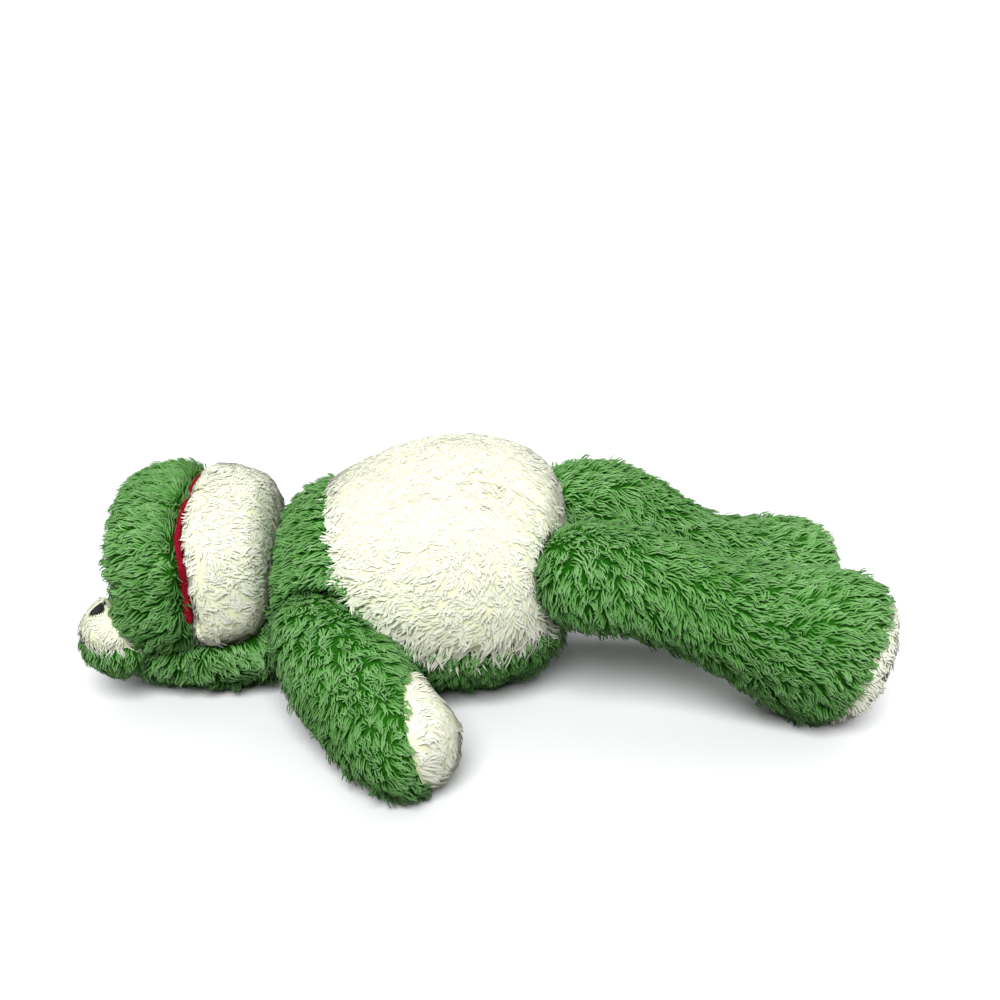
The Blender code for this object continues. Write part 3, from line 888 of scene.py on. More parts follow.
class Tufts:
    """Which tuft each lock belongs to, and chance values for tufts and locks."""

    def __init__(self, roots, rng):
        self.rng, self.count = rng, len(roots)
        centres = np.array(spaced(roots, TUFT_SPACING, rng.permutation(self.count)))
        tree = search_tree(roots[centres])
        self.centre = centres[[tree.find(root)[1] for root in roots]]

    def shared(self, values):
        """The value of the lock in the middle of the tuft, for each of its locks."""
        return values[self.centre]

    def varied(self, spread, own):
        """Chance that differs by spread from tuft to tuft and by own from lock to lock."""
        tuft = self.shared(self.rng.normal(0, spread, self.count))
        return tuft + self.rng.normal(0, own, self.count)


print("tufts ready")

# %% Bend the locks
ROOT_SINK = 0.6 * MM
FLOOR_AIR = 0.25 * MM
FLOOR_SPREAD = 0.4 * MM  # how unevenly the locks lie on the floor
WAVES_EACH = 0.95  # whole waves along a lock, and up to how many more
MORE_WAVES = 0.4


def curves(planting, heights, tufts, gather, look):
    """The line up the middle of each lock, one point a height, and the way across it."""
    roots, facing, ways, length, stand, _, curl = planting
    rng, count = tufts.rng, tufts.count
    phase = tufts.shared(rng.uniform(0, math.tau, count)) + rng.normal(0, 0.5, count)
    turns = WAVES_EACH + MORE_WAVES * tufts.shared(rng.random(count))
    swing = curl * (1 + 0.3 * tufts.shared(rng.normal(size=count)))
    length = length * (1 + tufts.varied(0.14, 0.07))
    stand = np.minimum(stand * np.exp(tufts.varied(0.3, 0.15)), length)
    veer = tufts.varied(look.veer, look.veer / 2)[:, None]
    ways = unit(ways * np.cos(veer) + np.cross(facing, ways) * np.sin(veer))
    side = np.cross(facing, ways)

    phase, turns, swing, length, stand = (
        rows[:, None, None] for rows in (phase, turns, swing, length, stand)
    )
    facing, ways, side = facing[:, None], ways[:, None], side[:, None]
    s = heights[None, :, None]
    reach = np.sqrt(np.maximum(length**2 - stand**2, 0)) * s**1.15
    turned = math.tau * turns * s + phase
    swing = swing * np.sqrt(s)
    sideways = swing * (np.sin(turned) - np.sin(phase))
    upwards = look.bounce * swing * (np.cos(turned) - np.cos(phase))
    lift = np.maximum(stand * (1 - (1 - s) ** 1.9) + upwards, 0.25 * stand * s)
    rise = lift - ROOT_SINK * (1 - np.minimum(3 * s, 1))
    curve = roots[:, None] + ways * reach + facing * rise + side * sideways
    pull = gather * s**1.3
    curve = curve * (1 - pull) + tufts.shared(curve) * pull
    level = curve[:, :, 2]
    above = FLOOR_AIR + FLOOR_SPREAD * rng.random(count)[:, None]
    curve[:, :, 2] = np.where(level < FLOOR_AIR, above, level)
    return curve, side


print("curves ready")

# %% [markdown]
# ## Copy the locks
#
# Thousands of copies would be slow to place by hand, so their points are worked out at once
# and written into one mesh. Each copy keeps its spot on a small map for its colour. Light
# spreads between real fibres and softens them, so a lock's shading is blended with that of
# the skin it grows on.

# %% Copy the locks along their curves
LOWEST = 0.1 * MM
MAP_NAME = "OFBake"
TONE_WIDTH = 0.02
ROOT_SHARE = 0.04
TIP_SHARE = 0.985
MAP_EDGE = 0.004


def tone_map(roots, tufts, spots):
    """Each corner's place on the pile's map: its tuft's tone, and its height up the lock."""
    tone = 0.5 + 0.16 * slow_noise(roots, 0) + tufts.varied(0.15, 0.08)
    u = np.clip(tone, 0.03, 0.97)[:, None] + TONE_WIDTH * (spots[None, :, 0] - 0.5)
    v = TIP_SHARE * (ROOT_SHARE + (1 - ROOT_SHARE) * spots[None, :, 1])
    return np.clip(np.stack([u, np.broadcast_to(v, u.shape)], 2), MAP_EDGE, 1 - MAP_EDGE)


def pile_mesh(name, places, corners, sizes, uv, shading):
    """One mesh from the points of all copies of a lock."""
    count = len(places)
    mesh = bpy.data.meshes.new(name)
    mesh.vertices.add(count * places.shape[1])
    mesh.vertices.foreach_set("co", places.ravel())
    mesh.loops.add(count * len(corners))
    step = np.arange(count)[:, None] * places.shape[1]
    mesh.loops.foreach_set("vertex_index", (corners[None] + step).ravel().astype(np.int32))
    mesh.polygons.add(count * len(sizes))
    starts = np.concatenate([[0], np.cumsum(np.tile(sizes, count))[:-1]])
    mesh.polygons.foreach_set("loop_start", starts.astype(np.int32))
    mesh.polygons.foreach_set("use_smooth", np.ones(count * len(sizes), dtype=bool))
    mesh.update(calc_edges=True)
    mesh.uv_layers.new(name=MAP_NAME).uv.foreach_set("vector", uv.ravel().astype(np.float32))
    mesh.normals_split_custom_set_from_vertices(shading.reshape(-1, 3))
    return mesh


def grown(name, kind, planting, gather, look, rng):
    """An object with a lock of this kind on every root."""
    shape, corners, sizes, spots = patterns[kind]
    heights = np.unique(np.round(shape[:, 2], 5))
    ring = np.searchsorted(heights, np.round(shape[:, 2], 5))
    tufts = Tufts(planting.roots, rng)
    curve, side = curves(planting, heights, tufts, gather, look)
    heading = unit(np.gradient(curve, axis=1))
    across = unit(side - heading * along(side, heading))
    wide = -across[:, ring] * shape[None, :, 0:1]
    deep = -np.cross(heading, across)[:, ring] * shape[None, :, 1:2]
    places = curve[:, ring] + (wide + deep * look.flat) * planting.width[:, None, None]
    places[:, :, 2] = np.maximum(places[:, :, 2], LOWEST)
    shading = unit(wide + deep) * (1 - look.soft) + planting.facing[:, None] * look.soft
    uv = tone_map(planting.roots, tufts, spots)
    return added(name, pile_mesh(name, places, corners, sizes, uv, unit(shading)))


print("ready to grow")

# %% Join a skin and its pile
def drop_maps(obj):
    for layer in list(obj.data.uv_layers):
        obj.data.uv_layers.remove(layer)


def map_skin(skin):
    """Lays the bare skin, by its place, into the map's root end, which is painted shade."""
    places = points(skin)
    low, high = places.min(0), places.max(0)
    x, y, z = ((places - low) / np.maximum(high - low, TINY)).T
    u = 0.05 + 0.9 * (0.7 * x + 0.3 * y)
    v = ROOT_SHARE * (0.15 + 0.7 * (0.6 * z + 0.4 * y))
    corner = np.empty(len(skin.data.loops), dtype=np.int32)
    skin.data.loops.foreach_get("vertex_index", corner)
    drop_maps(skin)
    layer = skin.data.uv_layers.new(name=MAP_NAME)
    layer.uv.foreach_set("vector", np.stack([u, v], 1)[corner].ravel().astype(np.float32))


def joined(skin, pile):
    """The skin and its pile as one piece."""
    alone(skin)
    pile.select_set(True)
    bpy.ops.object.join()
    return skin


print("ready to join")

# %% [markdown]
# ## The finishes
#
# Seen close, plush is dark down in the pile and lighter and yellower at its tips, and no two
# tufts have quite the same tone. Here the dark at each lock's root is painted shade, for the
# shade deep in the pile, and its lighter tip is painted light. On the cream, a yellower root
# and a whiter tip are painted warm shade and painted light over its own cream. The tone of a
# tuft is its own. The pile's own map holds just that: up the lock one way, and from dark to
# light tufts the other way. Two colour ramps run up the lock, and the tone blends between
# them. The fibres are quite dull, so the plush has no shine.

# %% Make the plush
ROUGH = 0.9


def fresh(name, roughness, shine):
    """A node material with this roughness and shine, its node tree and its shader."""
    material = bpy.data.materials.new(name)
    material.use_nodes = True
    shader = material.node_tree.nodes["Principled BSDF"]
    shader.inputs["Roughness"].default_value = roughness
    shader.inputs["Specular IOR Level"].default_value = shine
    return material, material.node_tree, shader


def ramp_up(tree, stops, height):
    """A colour ramp with these stops, driven by the height up the lock."""
    ramp = tree.nodes.new("ShaderNodeValToRGB")
    elements = ramp.color_ramp.elements
    elements[0].position, elements[0].color = stops[0][0], (*stops[0][1], 1)
    elements[1].position, elements[1].color = stops[-1][0], (*stops[-1][1], 1)
    for place, colour in stops[1:-1]:
        elements.new(place).color = (*colour, 1)
    tree.links.new(height, ramp.inputs["Fac"])
    return ramp.outputs["Color"]


def pile_finish(name, dark, light):
    """Plush whose locks run up two ramps, blended by the tone of their tuft."""
    material, tree, shader = fresh(name, ROUGH, 0)
    spot = tree.nodes.new("ShaderNodeUVMap")
    spot.uv_map = MAP_NAME
    split = tree.nodes.new("ShaderNodeSeparateXYZ")
    tree.links.new(spot.outputs["UV"], split.inputs["Vector"])
    blend = tree.nodes.new("ShaderNodeMix")
    blend.data_type = "RGBA"
    tree.links.new(split.outputs["X"], blend.inputs["Factor"])
    tree.links.new(ramp_up(tree, dark, split.outputs["Y"]), blend.inputs["A"])
    tree.links.new(ramp_up(tree, light, split.outputs["Y"]), blend.inputs["B"])
    tree.links.new(blend.outputs["Result"], shader.inputs["Base Color"])
    return material


# From root to tip: painted shade deep in the pile, then painted light on the tip
green_finish = pile_finish(
    "green_pile",
    [(0.03, (0.010, 0.088, 0.004)), (0.35, (0.074, 0.255, 0.041)),
     (1.0, (0.162, 0.390, 0.115))],
    [(0.03, (0.024, 0.138, 0.009)), (0.35, (0.155, 0.388, 0.098)),
     (1.0, (0.342, 0.600, 0.275))],
)
# Yellower at the root, whiter at the tip: painted warm shade and painted light on the cream
cream_finish = pile_finish(
    "cream_pile",
    [(0.03, (0.94, 0.97, 0.66)), (0.35, (0.94, 0.97, 0.74)), (1.0, (0.94, 0.96, 0.81))],
    [(0.03, (0.95, 0.97, 0.70)), (0.35, (0.96, 0.98, 0.80)), (1.0, (0.96, 0.97, 0.89))],
)


print("plush:", green_finish.name, cream_finish.name)

# %% [markdown]
# ## Felt and thread
#
# Felt is pressed from fibres, so its red is mottled and its face a little rough. Satin
# thread is black with a slow change of tone along the stitches and some shine. Both come
# from a cloud of noise that drives a colour ramp, and on the felt it drives a bump as well.

# %% Make the felt and the thread
def cloudy(name, roughness, shine, scale, detail, stops):
    """A finish coloured by a cloud of noise, its node tree, its shader and the cloud."""
    material, tree, shader = fresh(name, roughness, shine)
    place = tree.nodes.new("ShaderNodeTexCoord")
    cloud = tree.nodes.new("ShaderNodeTexNoise")
    cloud.inputs["Scale"].default_value = scale
    cloud.inputs["Detail"].default_value = detail
    tree.links.new(place.outputs["Object"], cloud.inputs["Vector"])
    colour = ramp_up(tree, stops, cloud.outputs["Fac"])
    tree.links.new(colour, shader.inputs["Base Color"])
    return material, tree, shader, cloud.outputs["Fac"]


red_finish, tree, shader, height = cloudy(
    "felt_in_mouth", ROUGH, 0.1, 900, 6,
    [(0.3, (0.16, 0.002, 0.010)), (0.7, (0.42, 0.008, 0.028))],
)
bump = tree.nodes.new("ShaderNodeBump")
bump.inputs["Strength"].default_value = 0.6
bump.inputs["Distance"].default_value = 0.3 * MM
tree.links.new(height, bump.inputs["Height"])
tree.links.new(bump.outputs["Normal"], shader.inputs["Normal"])
black_finish = cloudy(
    "satin_thread", 0.42, 0.2, 700, 2,
    [(0.3, (0.003, 0.003, 0.004)), (0.75, (0.010, 0.010, 0.014))],
)[0]
print("felt and thread:", red_finish.name, black_finish.name)

# %% [markdown]
# ## The pile of every skin
#
# Each skin has its own pile: how close the locks stand, how long they are, how high they
# stand and how curly they are. The green is long and combed. The cream is shorter and
# curlier, nearly flat on top of the belly, and long again where it hangs over a seam. A rule
# gives the pile of one skin, so that skins of one cloth share it.

# %% Give each skin its rule
WIDTH_SPREAD = 0.18
PILE_CLEAR = 0.3 * MM  # from the roots to the next bag


def ramped(values, low, high):
    """From 0 at low to 1 at high, smoothly."""
    t = np.clip((values - low) / (high - low), 0, 1)
    return t * t * (3 - 2 * t)


def laid(facing):
    """How much the pile is pressed down by its own weight: 0 below, 1 on top."""
    return ramped(facing[:, 2], -0.2, 0.9)


def green_rule(long, stand, curl=0.7 * MM, width=0.88 * MM):
    """Long locks, shorter along a seam, and thinner and lower where the toy lies on them."""
    def rule(roots, facing, edge):
        near = ramped(edge, 1 * MM, 7 * MM)
        under = ramped(roots[:, 2], 2 * MM, 6 * MM)
        return (
            long * (0.72 + 0.28 * near),
            stand * (1.15 - 0.45 * laid(facing)) * (0.35 + 0.65 * under),
            curl, width, 0.34, 0.55 + 0.45 * under,
        )
    return rule


def cream_rule(long, stand, rim, curl=0.6 * MM, width=1.05 * MM, depth=13 * MM, shag=0):
    """Short locks that grow to rim along a seam, where they stand up by shag more."""
    def rule(roots, facing, edge):
        near = 1 - ramped(edge, 1 * MM, depth)
        return (
            long + (rim - long) * near * (0.4 + 0.6 * ramped(-facing[:, 2], -0.7, 0.3)),
            stand * (1.15 - 0.9 * laid(facing)) * (1 + shag * near),
            curl, width, 0.5, 1,
        )
    return rule


def chin_rule(roots, facing, edge):
    """Short curls that lie every way."""
    return 4.4 * MM, 0.95 * MM * (1.2 - 0.6 * laid(facing)), 0.8 * MM, 1.0 * MM, 1.1, 1


def only(planting, chosen):
    """The planting without the locks that aren't chosen."""
    return Planting(*(rows[chosen] for rows in planting))


def plant(bag_name, colour, spacing, rng, strokes, rule):
    """Where the pile of one colour grows on a bag, and how each lock of it is."""
    roots, facing = scattered(bag_name, spacing, rng)
    free = seen(bag_name, roots, PILE_CLEAR)
    past = np.ones(len(roots))
    if bag_name in cream_side:
        past = cream_side[bag_name](roots)
        free &= (past > 0) == (colour == "cream")
    roots, facing, past = roots[free], facing[free], past[free]
    length, stand, curl, width, stray, keep = rule(roots, facing, np.abs(past))
    ways = brushed(strokes, roots, facing, stray)
    each = np.ones(len(roots))
    width = width * (each + WIDTH_SPREAD * rng.normal(size=len(roots))).clip(0.6, 1.5)
    grow = Planting(roots, facing, ways, length * each, stand * each, width, curl * each)
    return only(grow, rng.random(len(roots)) < keep)


print("rules ready")

# %% Keep the pile off the pupils
PUPIL_CORNER = np.array((-151.9, -41.0, 54.1)) * MM
PUPIL_EDGE = np.array((  # the pupil's lower edge, on the right eye
    (-157.6, -43.2, 49.2), (-158.2, -43.6, 48.5), (-156.2, -45.3, 48.9), (-154.5, -46.1, 49.4),
    (-152.9, -46.7, 50.1), (-151.0, -46.6, 50.7), (-150.3, -45.0, 51.7),
)) * MM
PUPIL_THREADS = 28
PUPIL_CLEAR = 0.6 * MM
steps = np.concatenate([[0], np.cumsum(np.linalg.norm(np.diff(PUPIL_EDGE, axis=0), axis=1))])
even = np.linspace(0, steps[-1], PUPIL_THREADS)
PUPIL_ENDS = np.stack([np.interp(even, steps, PUPIL_EDGE[:, k]) for k in range(3)], 1)
PUPIL_AREA = np.concatenate(
    [PUPIL_CORNER + (PUPIL_ENDS - PUPIL_CORNER) * share for share in np.linspace(0, 1, 12)]
)


def off_pupil(planting, side):
    """The planting without the locks that would cover that side's pupil."""
    tree = search_tree(mirrored(PUPIL_AREA, side))
    clear = np.ones(len(planting.roots), dtype=bool)
    for share in (0, 0.4, 0.9):
        spots = planting.roots + planting.ways * planting.length[:, None] * share
        clear &= np.array([tree.find(spot)[2] > PUPIL_CLEAR for spot in spots])
    return only(planting, clear)


print(len(PUPIL_AREA), "places on a pupil")

# %% List the piles
GREEN_SPACING = 1.22 * MM
LEG_SPACING = 1.27 * MM
CREAM_SPACING = 1.15 * MM
EYE_SPACING = 1.0 * MM
BODY_GREEN = green_rule(7 * MM, 3.0 * MM)
HEAD_GREEN = green_rule(7 * MM, 2.8 * MM)
LEG_GREEN = green_rule(7.2 * MM, 3.2 * MM)
EYE_GREEN = green_rule(5 * MM, 2 * MM, curl=0.5 * MM, width=0.7 * MM)
BELLY_CREAM = cream_rule(4.6 * MM, 1.2 * MM, 13 * MM, shag=1.6)
PALM_CREAM = cream_rule(4.6 * MM, 1.0 * MM, 7.5 * MM)
SOLE_CREAM = cream_rule(5 * MM, 1.3 * MM, 8 * MM)
EYE_CREAM = cream_rule(
    3.4 * MM, 1.3 * MM, 8.0 * MM, curl=0.4 * MM, width=0.75 * MM, depth=6 * MM
)
CLOTHS = {  # colour: lock, look, finish
    "green": ("long", Look(flat=0.7, bounce=0.5, soft=0.55, veer=0.34), green_finish),
    "cream": ("short", Look(flat=0.25, bounce=0.2, soft=0.95, veer=0.6), cream_finish),
}
PILES = {  # skin: bag, colour, spacing, seed, strokes, rule, how much tufts gather
    "back_plush": ("torso", "green", GREEN_SPACING, 21, "torso", BODY_GREEN, 0.45),
    "belly_plush": ("torso", "cream", CREAM_SPACING, 22, "belly", BELLY_CREAM, 0.25),
    "head_back_plush": ("head", "green", GREEN_SPACING, 23, "head", HEAD_GREEN, 0.45),
    "crown_plush": ("crown", "green", GREEN_SPACING, 24, "crown", HEAD_GREEN, 0.45),
    "chin_plush": ("chin", "cream", CREAM_SPACING, 25, "chin", chin_rule, 0.35),
}
PAIRED_PILES = (  # the same for a skin on either side, with the left one's seed
    ("eye_white_plush", "eye", "cream", EYE_SPACING, 31, "eye", EYE_CREAM, 0.3),
    ("eye_hood_plush", "eye", "green", EYE_SPACING, 33, "eye", EYE_GREEN, 0.45),
    ("arm_plush", "arm", "green", GREEN_SPACING, 35, "arm", BODY_GREEN, 0.45),
    ("palm_plush", "arm", "cream", CREAM_SPACING, 37, "palm", PALM_CREAM, 0.3),
    ("leg_plush", "leg", "green", LEG_SPACING, 39, "leg", LEG_GREEN, 0.45),
    ("sole_plush", "leg", "cream", CREAM_SPACING, 41, "sole", SOLE_CREAM, 0.3),
)
for number, side in enumerate(SIDES):
    for skin, bag_name, colour, spacing, seed, strokes, rule, gather in PAIRED_PILES:
        PILES[f"{skin}_{side}"] = (
            f"{bag_name}_{side}", colour, spacing, seed + number, strokes, rule, gather
        )
print(len(PILES), "piles")

# %% [markdown]
# ## The lip of the crown
#
# Where the crown turns in to the mouth, its pile would part and show bare cloth, because few
# locks face that way. The real toy has its pile brushed out over that seam. So the lip gets
# a second planting, whose locks come round it from the mouth.

# %% Plant the lip
LIP_SPACING = 1.25 * MM
LIP_SEED = 300  # on top of the crown's own
LIP_START = -129 * MM
LIP_FLATTER = (0.1, 1, 1)


def with_lip(crown, spacing, rng, strokes, rule):
    """The crown's planting with the lip's added."""
    lip = plant("crown", "green", spacing, rng, strokes, rule)
    inwards = lip.facing[:, 0]
    turned_in = (inwards > 0.05) & (inwards < 0.75)
    lip = only(lip, turned_in & (lip.roots[:, 0] > LIP_START))
    facing = unit(lip.facing * LIP_FLATTER)
    lip = lip._replace(facing=facing, ways=brushed(strokes, lip.roots, facing, 0.3))
    return Planting(*(np.concatenate(pair) for pair in zip(crown, lip)))


print("lip ready")

# %% Plant the skins
GROW_SEED = 100  # on top of a planting's own
finished = {}


def dress(name, grow, colour, gather, seed):
    """Grows this planting and joins it to the skin of that name."""
    kind, look, finish = CLOTHS[colour]
    pile = grown(f"{name}_pile", kind, grow, gather, look, np.random.default_rng(seed))
    map_skin(skins[name])
    finished[name] = joined(skins[name], pile)
    finished[name].data.materials.clear()
    finished[name].data.materials.append(finish)
    print(name, len(grow.roots), "locks")


for name, (bag_name, colour, spacing, seed, strokes, rule, gather) in PILES.items():
    grow = plant(bag_name, colour, spacing, np.random.default_rng(seed), strokes, rule)
    if bag_name == "crown":
        lip_rng = np.random.default_rng(seed + LIP_SEED)
        grow = with_lip(grow, LIP_SPACING, lip_rng, strokes, rule)
    if name.startswith("eye_white"):
        grow = off_pupil(grow, name.rpartition("_")[2])
    if name == "back_plush":
        for left, side in enumerate(("right", "left")):
            half = only(grow, (grow.roots[:, 1] > 0) == bool(left))
            dress(f"{name}_{side}", half, colour, gather, seed + GROW_SEED + left)
    else:
        dress(name, grow, colour, gather, seed + GROW_SEED)
print("pile grown after", round(time.time() - started), "s")

# %% [markdown]
# ## The felt in the mouth
#
# A layer of red felt lines the closed mouth, and only its edge shows as a line between the
# jaws. The plain sheet is remeshed finely, roughened a little along its edge, and short
# fibres stand out of it as they do on real felt.

# %% Make the felt
FELT_SHARE = 0.968  # how much of the mouth's height and width the felt fills
FELT_ROUGH = 0.3 * MM
FELT_GRAIN = 6  # how much finer than the pile's slow noise
FIBRE_SPACING = 0.75 * MM
RIM_FACING = 0.75  # locks grow where the felt faces less along the toy than this
felt = copied("mouth_felt", ("mouth_lining",))
apply(felt, "REMESH", mode="VOXEL", voxel_size=1.0 * MM)
outer_skin(felt)
places = nudged("mouth_felt", points(felt))
middle = places.mean(0)
places[:, 1:] = middle[1:] + (places[:, 1:] - middle[1:]) * FELT_SHARE
move_to(felt, places)
rough = slow_noise(places * FELT_GRAIN, 1) * FELT_ROUGH
move_to(felt, places + normals(felt) * rough[:, None])
apply(felt, "SMOOTH", factor=0.5, iterations=2)
bpy.ops.object.shade_smooth()
bags["felt"] = felt
print("felt", len(felt.data.polygons), "faces")

# %% Grow its fibres
rng = np.random.default_rng(51)
roots, facing = scattered("felt", FIBRE_SPACING, rng)
rim = np.abs(facing[:, 0]) < RIM_FACING
roots, facing = roots[rim], facing[rim]
count = len(roots)
ways = unit(np.cross(facing, (1.0, 0, 0)) + 0.4 * facing)
lengths = rng.uniform(1.0, 2.2, count) * MM
stands = rng.uniform(0.3, 1.1, count) * MM
widths, curls = np.full(count, 0.22 * MM), np.full(count, 0.3 * MM)
fibres = grown(
    "felt_fibres", "short", Planting(roots, facing, ways, lengths, stands, widths, curls), 0.1,
    Look(flat=1, bounce=0.5, soft=0.4, veer=0.9), rng,
)
joined(felt, fibres)
drop_maps(felt)
bags.pop("felt")
felt.data.materials.append(red_finish)
print(count, "fibres")

# %% [markdown]
# ## The embroidered pupils
#
# Each pupil is a wedge of black satin stitch. Its threads spread like a fan from one corner
# to a ragged lower edge, and a few run on past the corner as a thin lash. A sphere makes a
# thread that tapers at both ends, and each one is bent to follow the round of the eye.

# %% Model a thread and lay it
THREAD = 0.42 * MM
THREAD_LOW = 0.35 * MM  # how high a thread lies over the eye at its ends
THREAD_RISE = 0.25 * MM  # and how much higher in the middle


def thread_pattern():
    """A thread from 0 to 1 up the Z axis, one wide, that tapers into the cloth at its ends."""
    bpy.ops.object.select_all(action="DESELECT")
    bpy.ops.mesh.primitive_uv_sphere_add(segments=6, ring_count=9, radius=0.5)
    edit_mode()
    bpy.ops.transform.translate(value=(0, 0, 0.5))
    object_mode()
    return bpy.context.object


def sewn(start, end, tree):
    """A thread laid over the eye from start to end."""
    thread = thread_pattern()
    places = points(thread)
    share = places[:, 2:3] ** 0.7
    line = start + (end - start) * share
    spots, ways = np.empty_like(line), np.empty_like(line)
    for k, place in enumerate(line):
        spots[k], ways[k], _, _ = tree.find_nearest(place)
    up = unit(ways.mean(0))
    side = unit(np.cross(up, end - start))
    over = THREAD_LOW + THREAD_RISE * np.sin(math.pi * share)
    round_it = (side * places[:, 0:1] + up * places[:, 1:2]) * THREAD
    move_to(thread, spots + up * over + round_it)
    return thread


print("thread ready")

# %% Sew the pupils
RAGGED = (0.8, -0.6, 0.1, -1.0, -0.2)  # how far each thread in turn runs over the edge, in mm
LASH_END = np.array((-150.0, -38.3, 54.6)) * MM
LASH_STARTS = (4, 12, 20)  # numbers of the threads over which the lash starts
LASH_SHARE = 0.4
for side in SIDES:
    tree = forms[f"eye_{side}"][0]
    corner, lash_end = mirrored(PUPIL_CORNER, side), mirrored(LASH_END, side)
    ends = mirrored(PUPIL_ENDS, side)
    parts = []
    for k, end in enumerate(ends):
        over = unit(end - corner) * RAGGED[k % len(RAGGED)] * MM
        parts.append(sewn(corner, end + over, tree))
    for k in LASH_STARTS:
        parts.append(sewn(corner + (ends[k] - corner) * LASH_SHARE, lash_end, tree))
    pupil = alone(parts[0])
    pupil.name = f"pupil_{side}_stitches"
    for part in parts:
        part.select_set(True)
    bpy.ops.object.join()
    edit_mode()
    bpy.ops.mesh.normals_make_consistent(inside=False)
    object_mode()
    bpy.ops.object.shade_smooth()
    pupil.data.materials.append(black_finish)
    finished[pupil.name] = pupil
    print(pupil.name, len(parts), "threads")

# %% [markdown]
# ## Hang every piece on its body
#
# The head, arms and legs turn on their seams, so each finished piece is tied to the plain
# body it moves with and stands in for the plain parts it covers, which are hidden.

# %% Tie the pieces to the frame
def settle(piece, body, nodes):
    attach(piece, body)
    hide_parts(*nodes)


for bag in bags.values():
    bpy.data.objects.remove(bag)
finished["mouth_felt"] = felt
RIDES = [  # piece, body, finish, plain parts, how full it is
    ("back_plush_left", "torso", "green_plush", ("back_panel", "torso_filling"), 0.7),
    ("back_plush_right", "torso", "green_plush", ("back_panel",), 0.7),
    ("belly_plush", "torso", "cream_plush", ("belly_panel",), 0.8),
    ("head_back_plush", "head", "green_plush", ("head_back", "head_filling"), 0.5),
    ("crown_plush", "head", "green_plush", ("upper_jaw", "upper_jaw_filling"), 0.8),
    ("chin_plush", "head", "cream_plush", ("lower_jaw", "lower_jaw_filling"), 0.8),
    ("mouth_felt", "head", "red_felt", ("mouth_lining",), None),
]
for side in SIDES:
    arm, leg = f"arm_{side}", f"leg_{side}"
    RIDES += [
        (f"eye_white_plush_{side}", "head", "cream_plush",
         (f"eye_white_{side}", f"eye_filling_{side}"), 0.8),
        (f"eye_hood_plush_{side}", "head", "green_plush", (f"eye_hood_{side}",), 0.8),
        (f"pupil_{side}_stitches", "head", "black_embroidery", (f"pupil_{side}",), None),
        (f"arm_plush_{side}", arm, "green_plush", (arm, f"arm_filling_{side}"), 0.7),
        (f"palm_plush_{side}", arm, "cream_plush", (f"palm_{side}",), 0.7),
        (f"leg_plush_{side}", leg, "green_plush", (leg, f"leg_filling_{side}"), 0.7),
        (f"sole_plush_{side}", leg, "cream_plush", (f"sole_{side}",), 0.7),
    ]
for name, body, slot, nodes, fill in RIDES:
    settle(finished[name], body, nodes)
print(len(RIDES), "pieces ride on their bodies")

# %% [markdown]
# ## Camera, floor and light
#
# The frog is seen from its right side and from a little above. The floor is plain white and
# keeps the soft shadow. A soft sun stands high in front and a little to the left, two faint
# ones behind keep the far side from going dark, and a pale sky fills in from overhead. The
# floor and the sky look white to the camera but give back much less light, because real
# studio light would otherwise wash the green out.

# %% Set up the camera
FOCAL_PIXELS = 1400
PICTURE_PIXELS = 1000
SENSOR = 36
LOOKING_DOWN = 21.5  # degrees


def shown_rays(tree):
    """One for a ray from the camera, a mirror or glass, and zero for one that gives light."""
    path = tree.nodes.new("ShaderNodeLightPath")
    found = path.outputs["Is Camera Ray"]
    for kind in ("Is Glossy Ray", "Is Transmission Ray"):
        either = tree.nodes.new("ShaderNodeMath")
        either.operation = "MAXIMUM"
        tree.links.new(found, either.inputs[0])
        tree.links.new(path.outputs[kind], either.inputs[1])
        found = either.outputs["Value"]
    return found


camera_data = bpy.data.cameras.new("camera")
camera_data.sensor_width = SENSOR
camera_data.lens = FOCAL_PIXELS / PICTURE_PIXELS * SENSOR
camera_data.clip_start = 0.01
camera_data.clip_end = 100
camera = added("camera", camera_data)
camera.location = (0.038, -0.645, 0.345)
camera.rotation_euler = (math.radians(90 - LOOKING_DOWN), 0, 0)
bpy.context.scene.camera = camera
print("camera", camera.location[:])

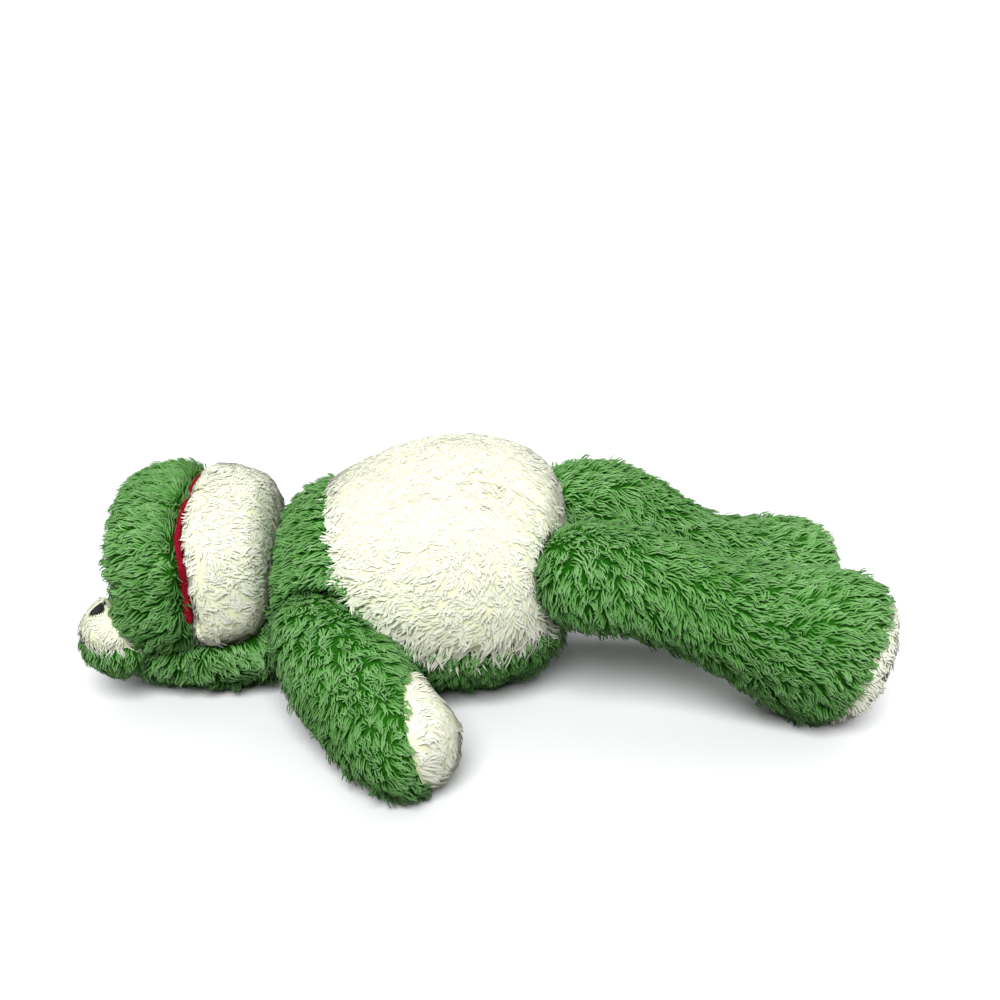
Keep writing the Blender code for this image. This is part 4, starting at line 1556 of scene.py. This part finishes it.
# %% Lay the floor
bpy.ops.object.select_all(action="DESELECT")
bpy.ops.mesh.primitive_plane_add(size=40)
floor = bpy.context.object
floor.name = "floor"
material, tree, shader = fresh("white_floor", ROUGH, 0)
paler = tree.nodes.new("ShaderNodeMix")
paler.data_type = "RGBA"
paler.inputs["A"].default_value = (0.22, 0.22, 0.22, 1)
paler.inputs["B"].default_value = (0.93, 0.94, 0.95, 1)
tree.links.new(shown_rays(tree), paler.inputs["Factor"])
tree.links.new(paler.outputs["Result"], shader.inputs["Base Color"])
floor.data.materials.append(material)
floor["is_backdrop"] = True
print("floor", floor.dimensions[:])

# %% Hang the lamps
LAMPS = (  # name, strength, tilt from overhead, turn from the front, size of its disc
    ("front_sun", 3.7, 42, -4, 34),
    ("fill_behind_right", 0.65, 55, 135, 60),
    ("fill_behind_left", 0.65, 55, 225, 60),
)
for name, strength, tilt, turn, disc in LAMPS:
    lamp_data = bpy.data.lights.new(name, "SUN")
    lamp_data.energy = strength
    lamp_data.angle = math.radians(disc)
    lamp = added(name, lamp_data)
    lamp.rotation_euler = (math.radians(tilt), 0, math.radians(turn))
print(len(LAMPS), "lamps")

# %% Light the sky
world = bpy.data.worlds.new("pale_sky")
bpy.context.scene.world = world
world.use_nodes = True
nodes, links = world.node_tree.nodes, world.node_tree.links
lit = nodes["Background"]
lit.inputs["Color"].default_value = (1.0, 1.0, 0.98, 1)
way_up = nodes.new("ShaderNodeTexCoord")
height = nodes.new("ShaderNodeSeparateXYZ")
links.new(way_up.outputs["Generated"], height.inputs["Vector"])
sky = nodes.new("ShaderNodeMapRange")
SKY = {"From Min": 0.45, "From Max": 1.0, "To Min": 0.0, "To Max": 0.4}  # height to light
for name, value in SKY.items():
    sky.inputs[name].default_value = value
links.new(height.outputs["Z"], sky.inputs["Value"])
links.new(sky.outputs["Result"], lit.inputs["Strength"])
shown = nodes.new("ShaderNodeBackground")
shown.inputs["Color"].default_value = (1, 1, 1, 1)
shown.inputs["Strength"].default_value = 1.0
either = nodes.new("ShaderNodeMixShader")
links.new(shown_rays(world.node_tree), either.inputs["Fac"])
links.new(lit.outputs["Background"], either.inputs[1])
links.new(shown.outputs["Background"], either.inputs[2])
links.new(either.outputs["Shader"], nodes["World Output"].inputs["Surface"])
bpy.context.scene.view_settings.view_transform = "Standard"
print("sky and view are set")

# %% Print the sizes and finish
import json

visual_box = [list(corner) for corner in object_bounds()]
print("dressed model:", visual_box, "after", round(time.time() - started), "s")
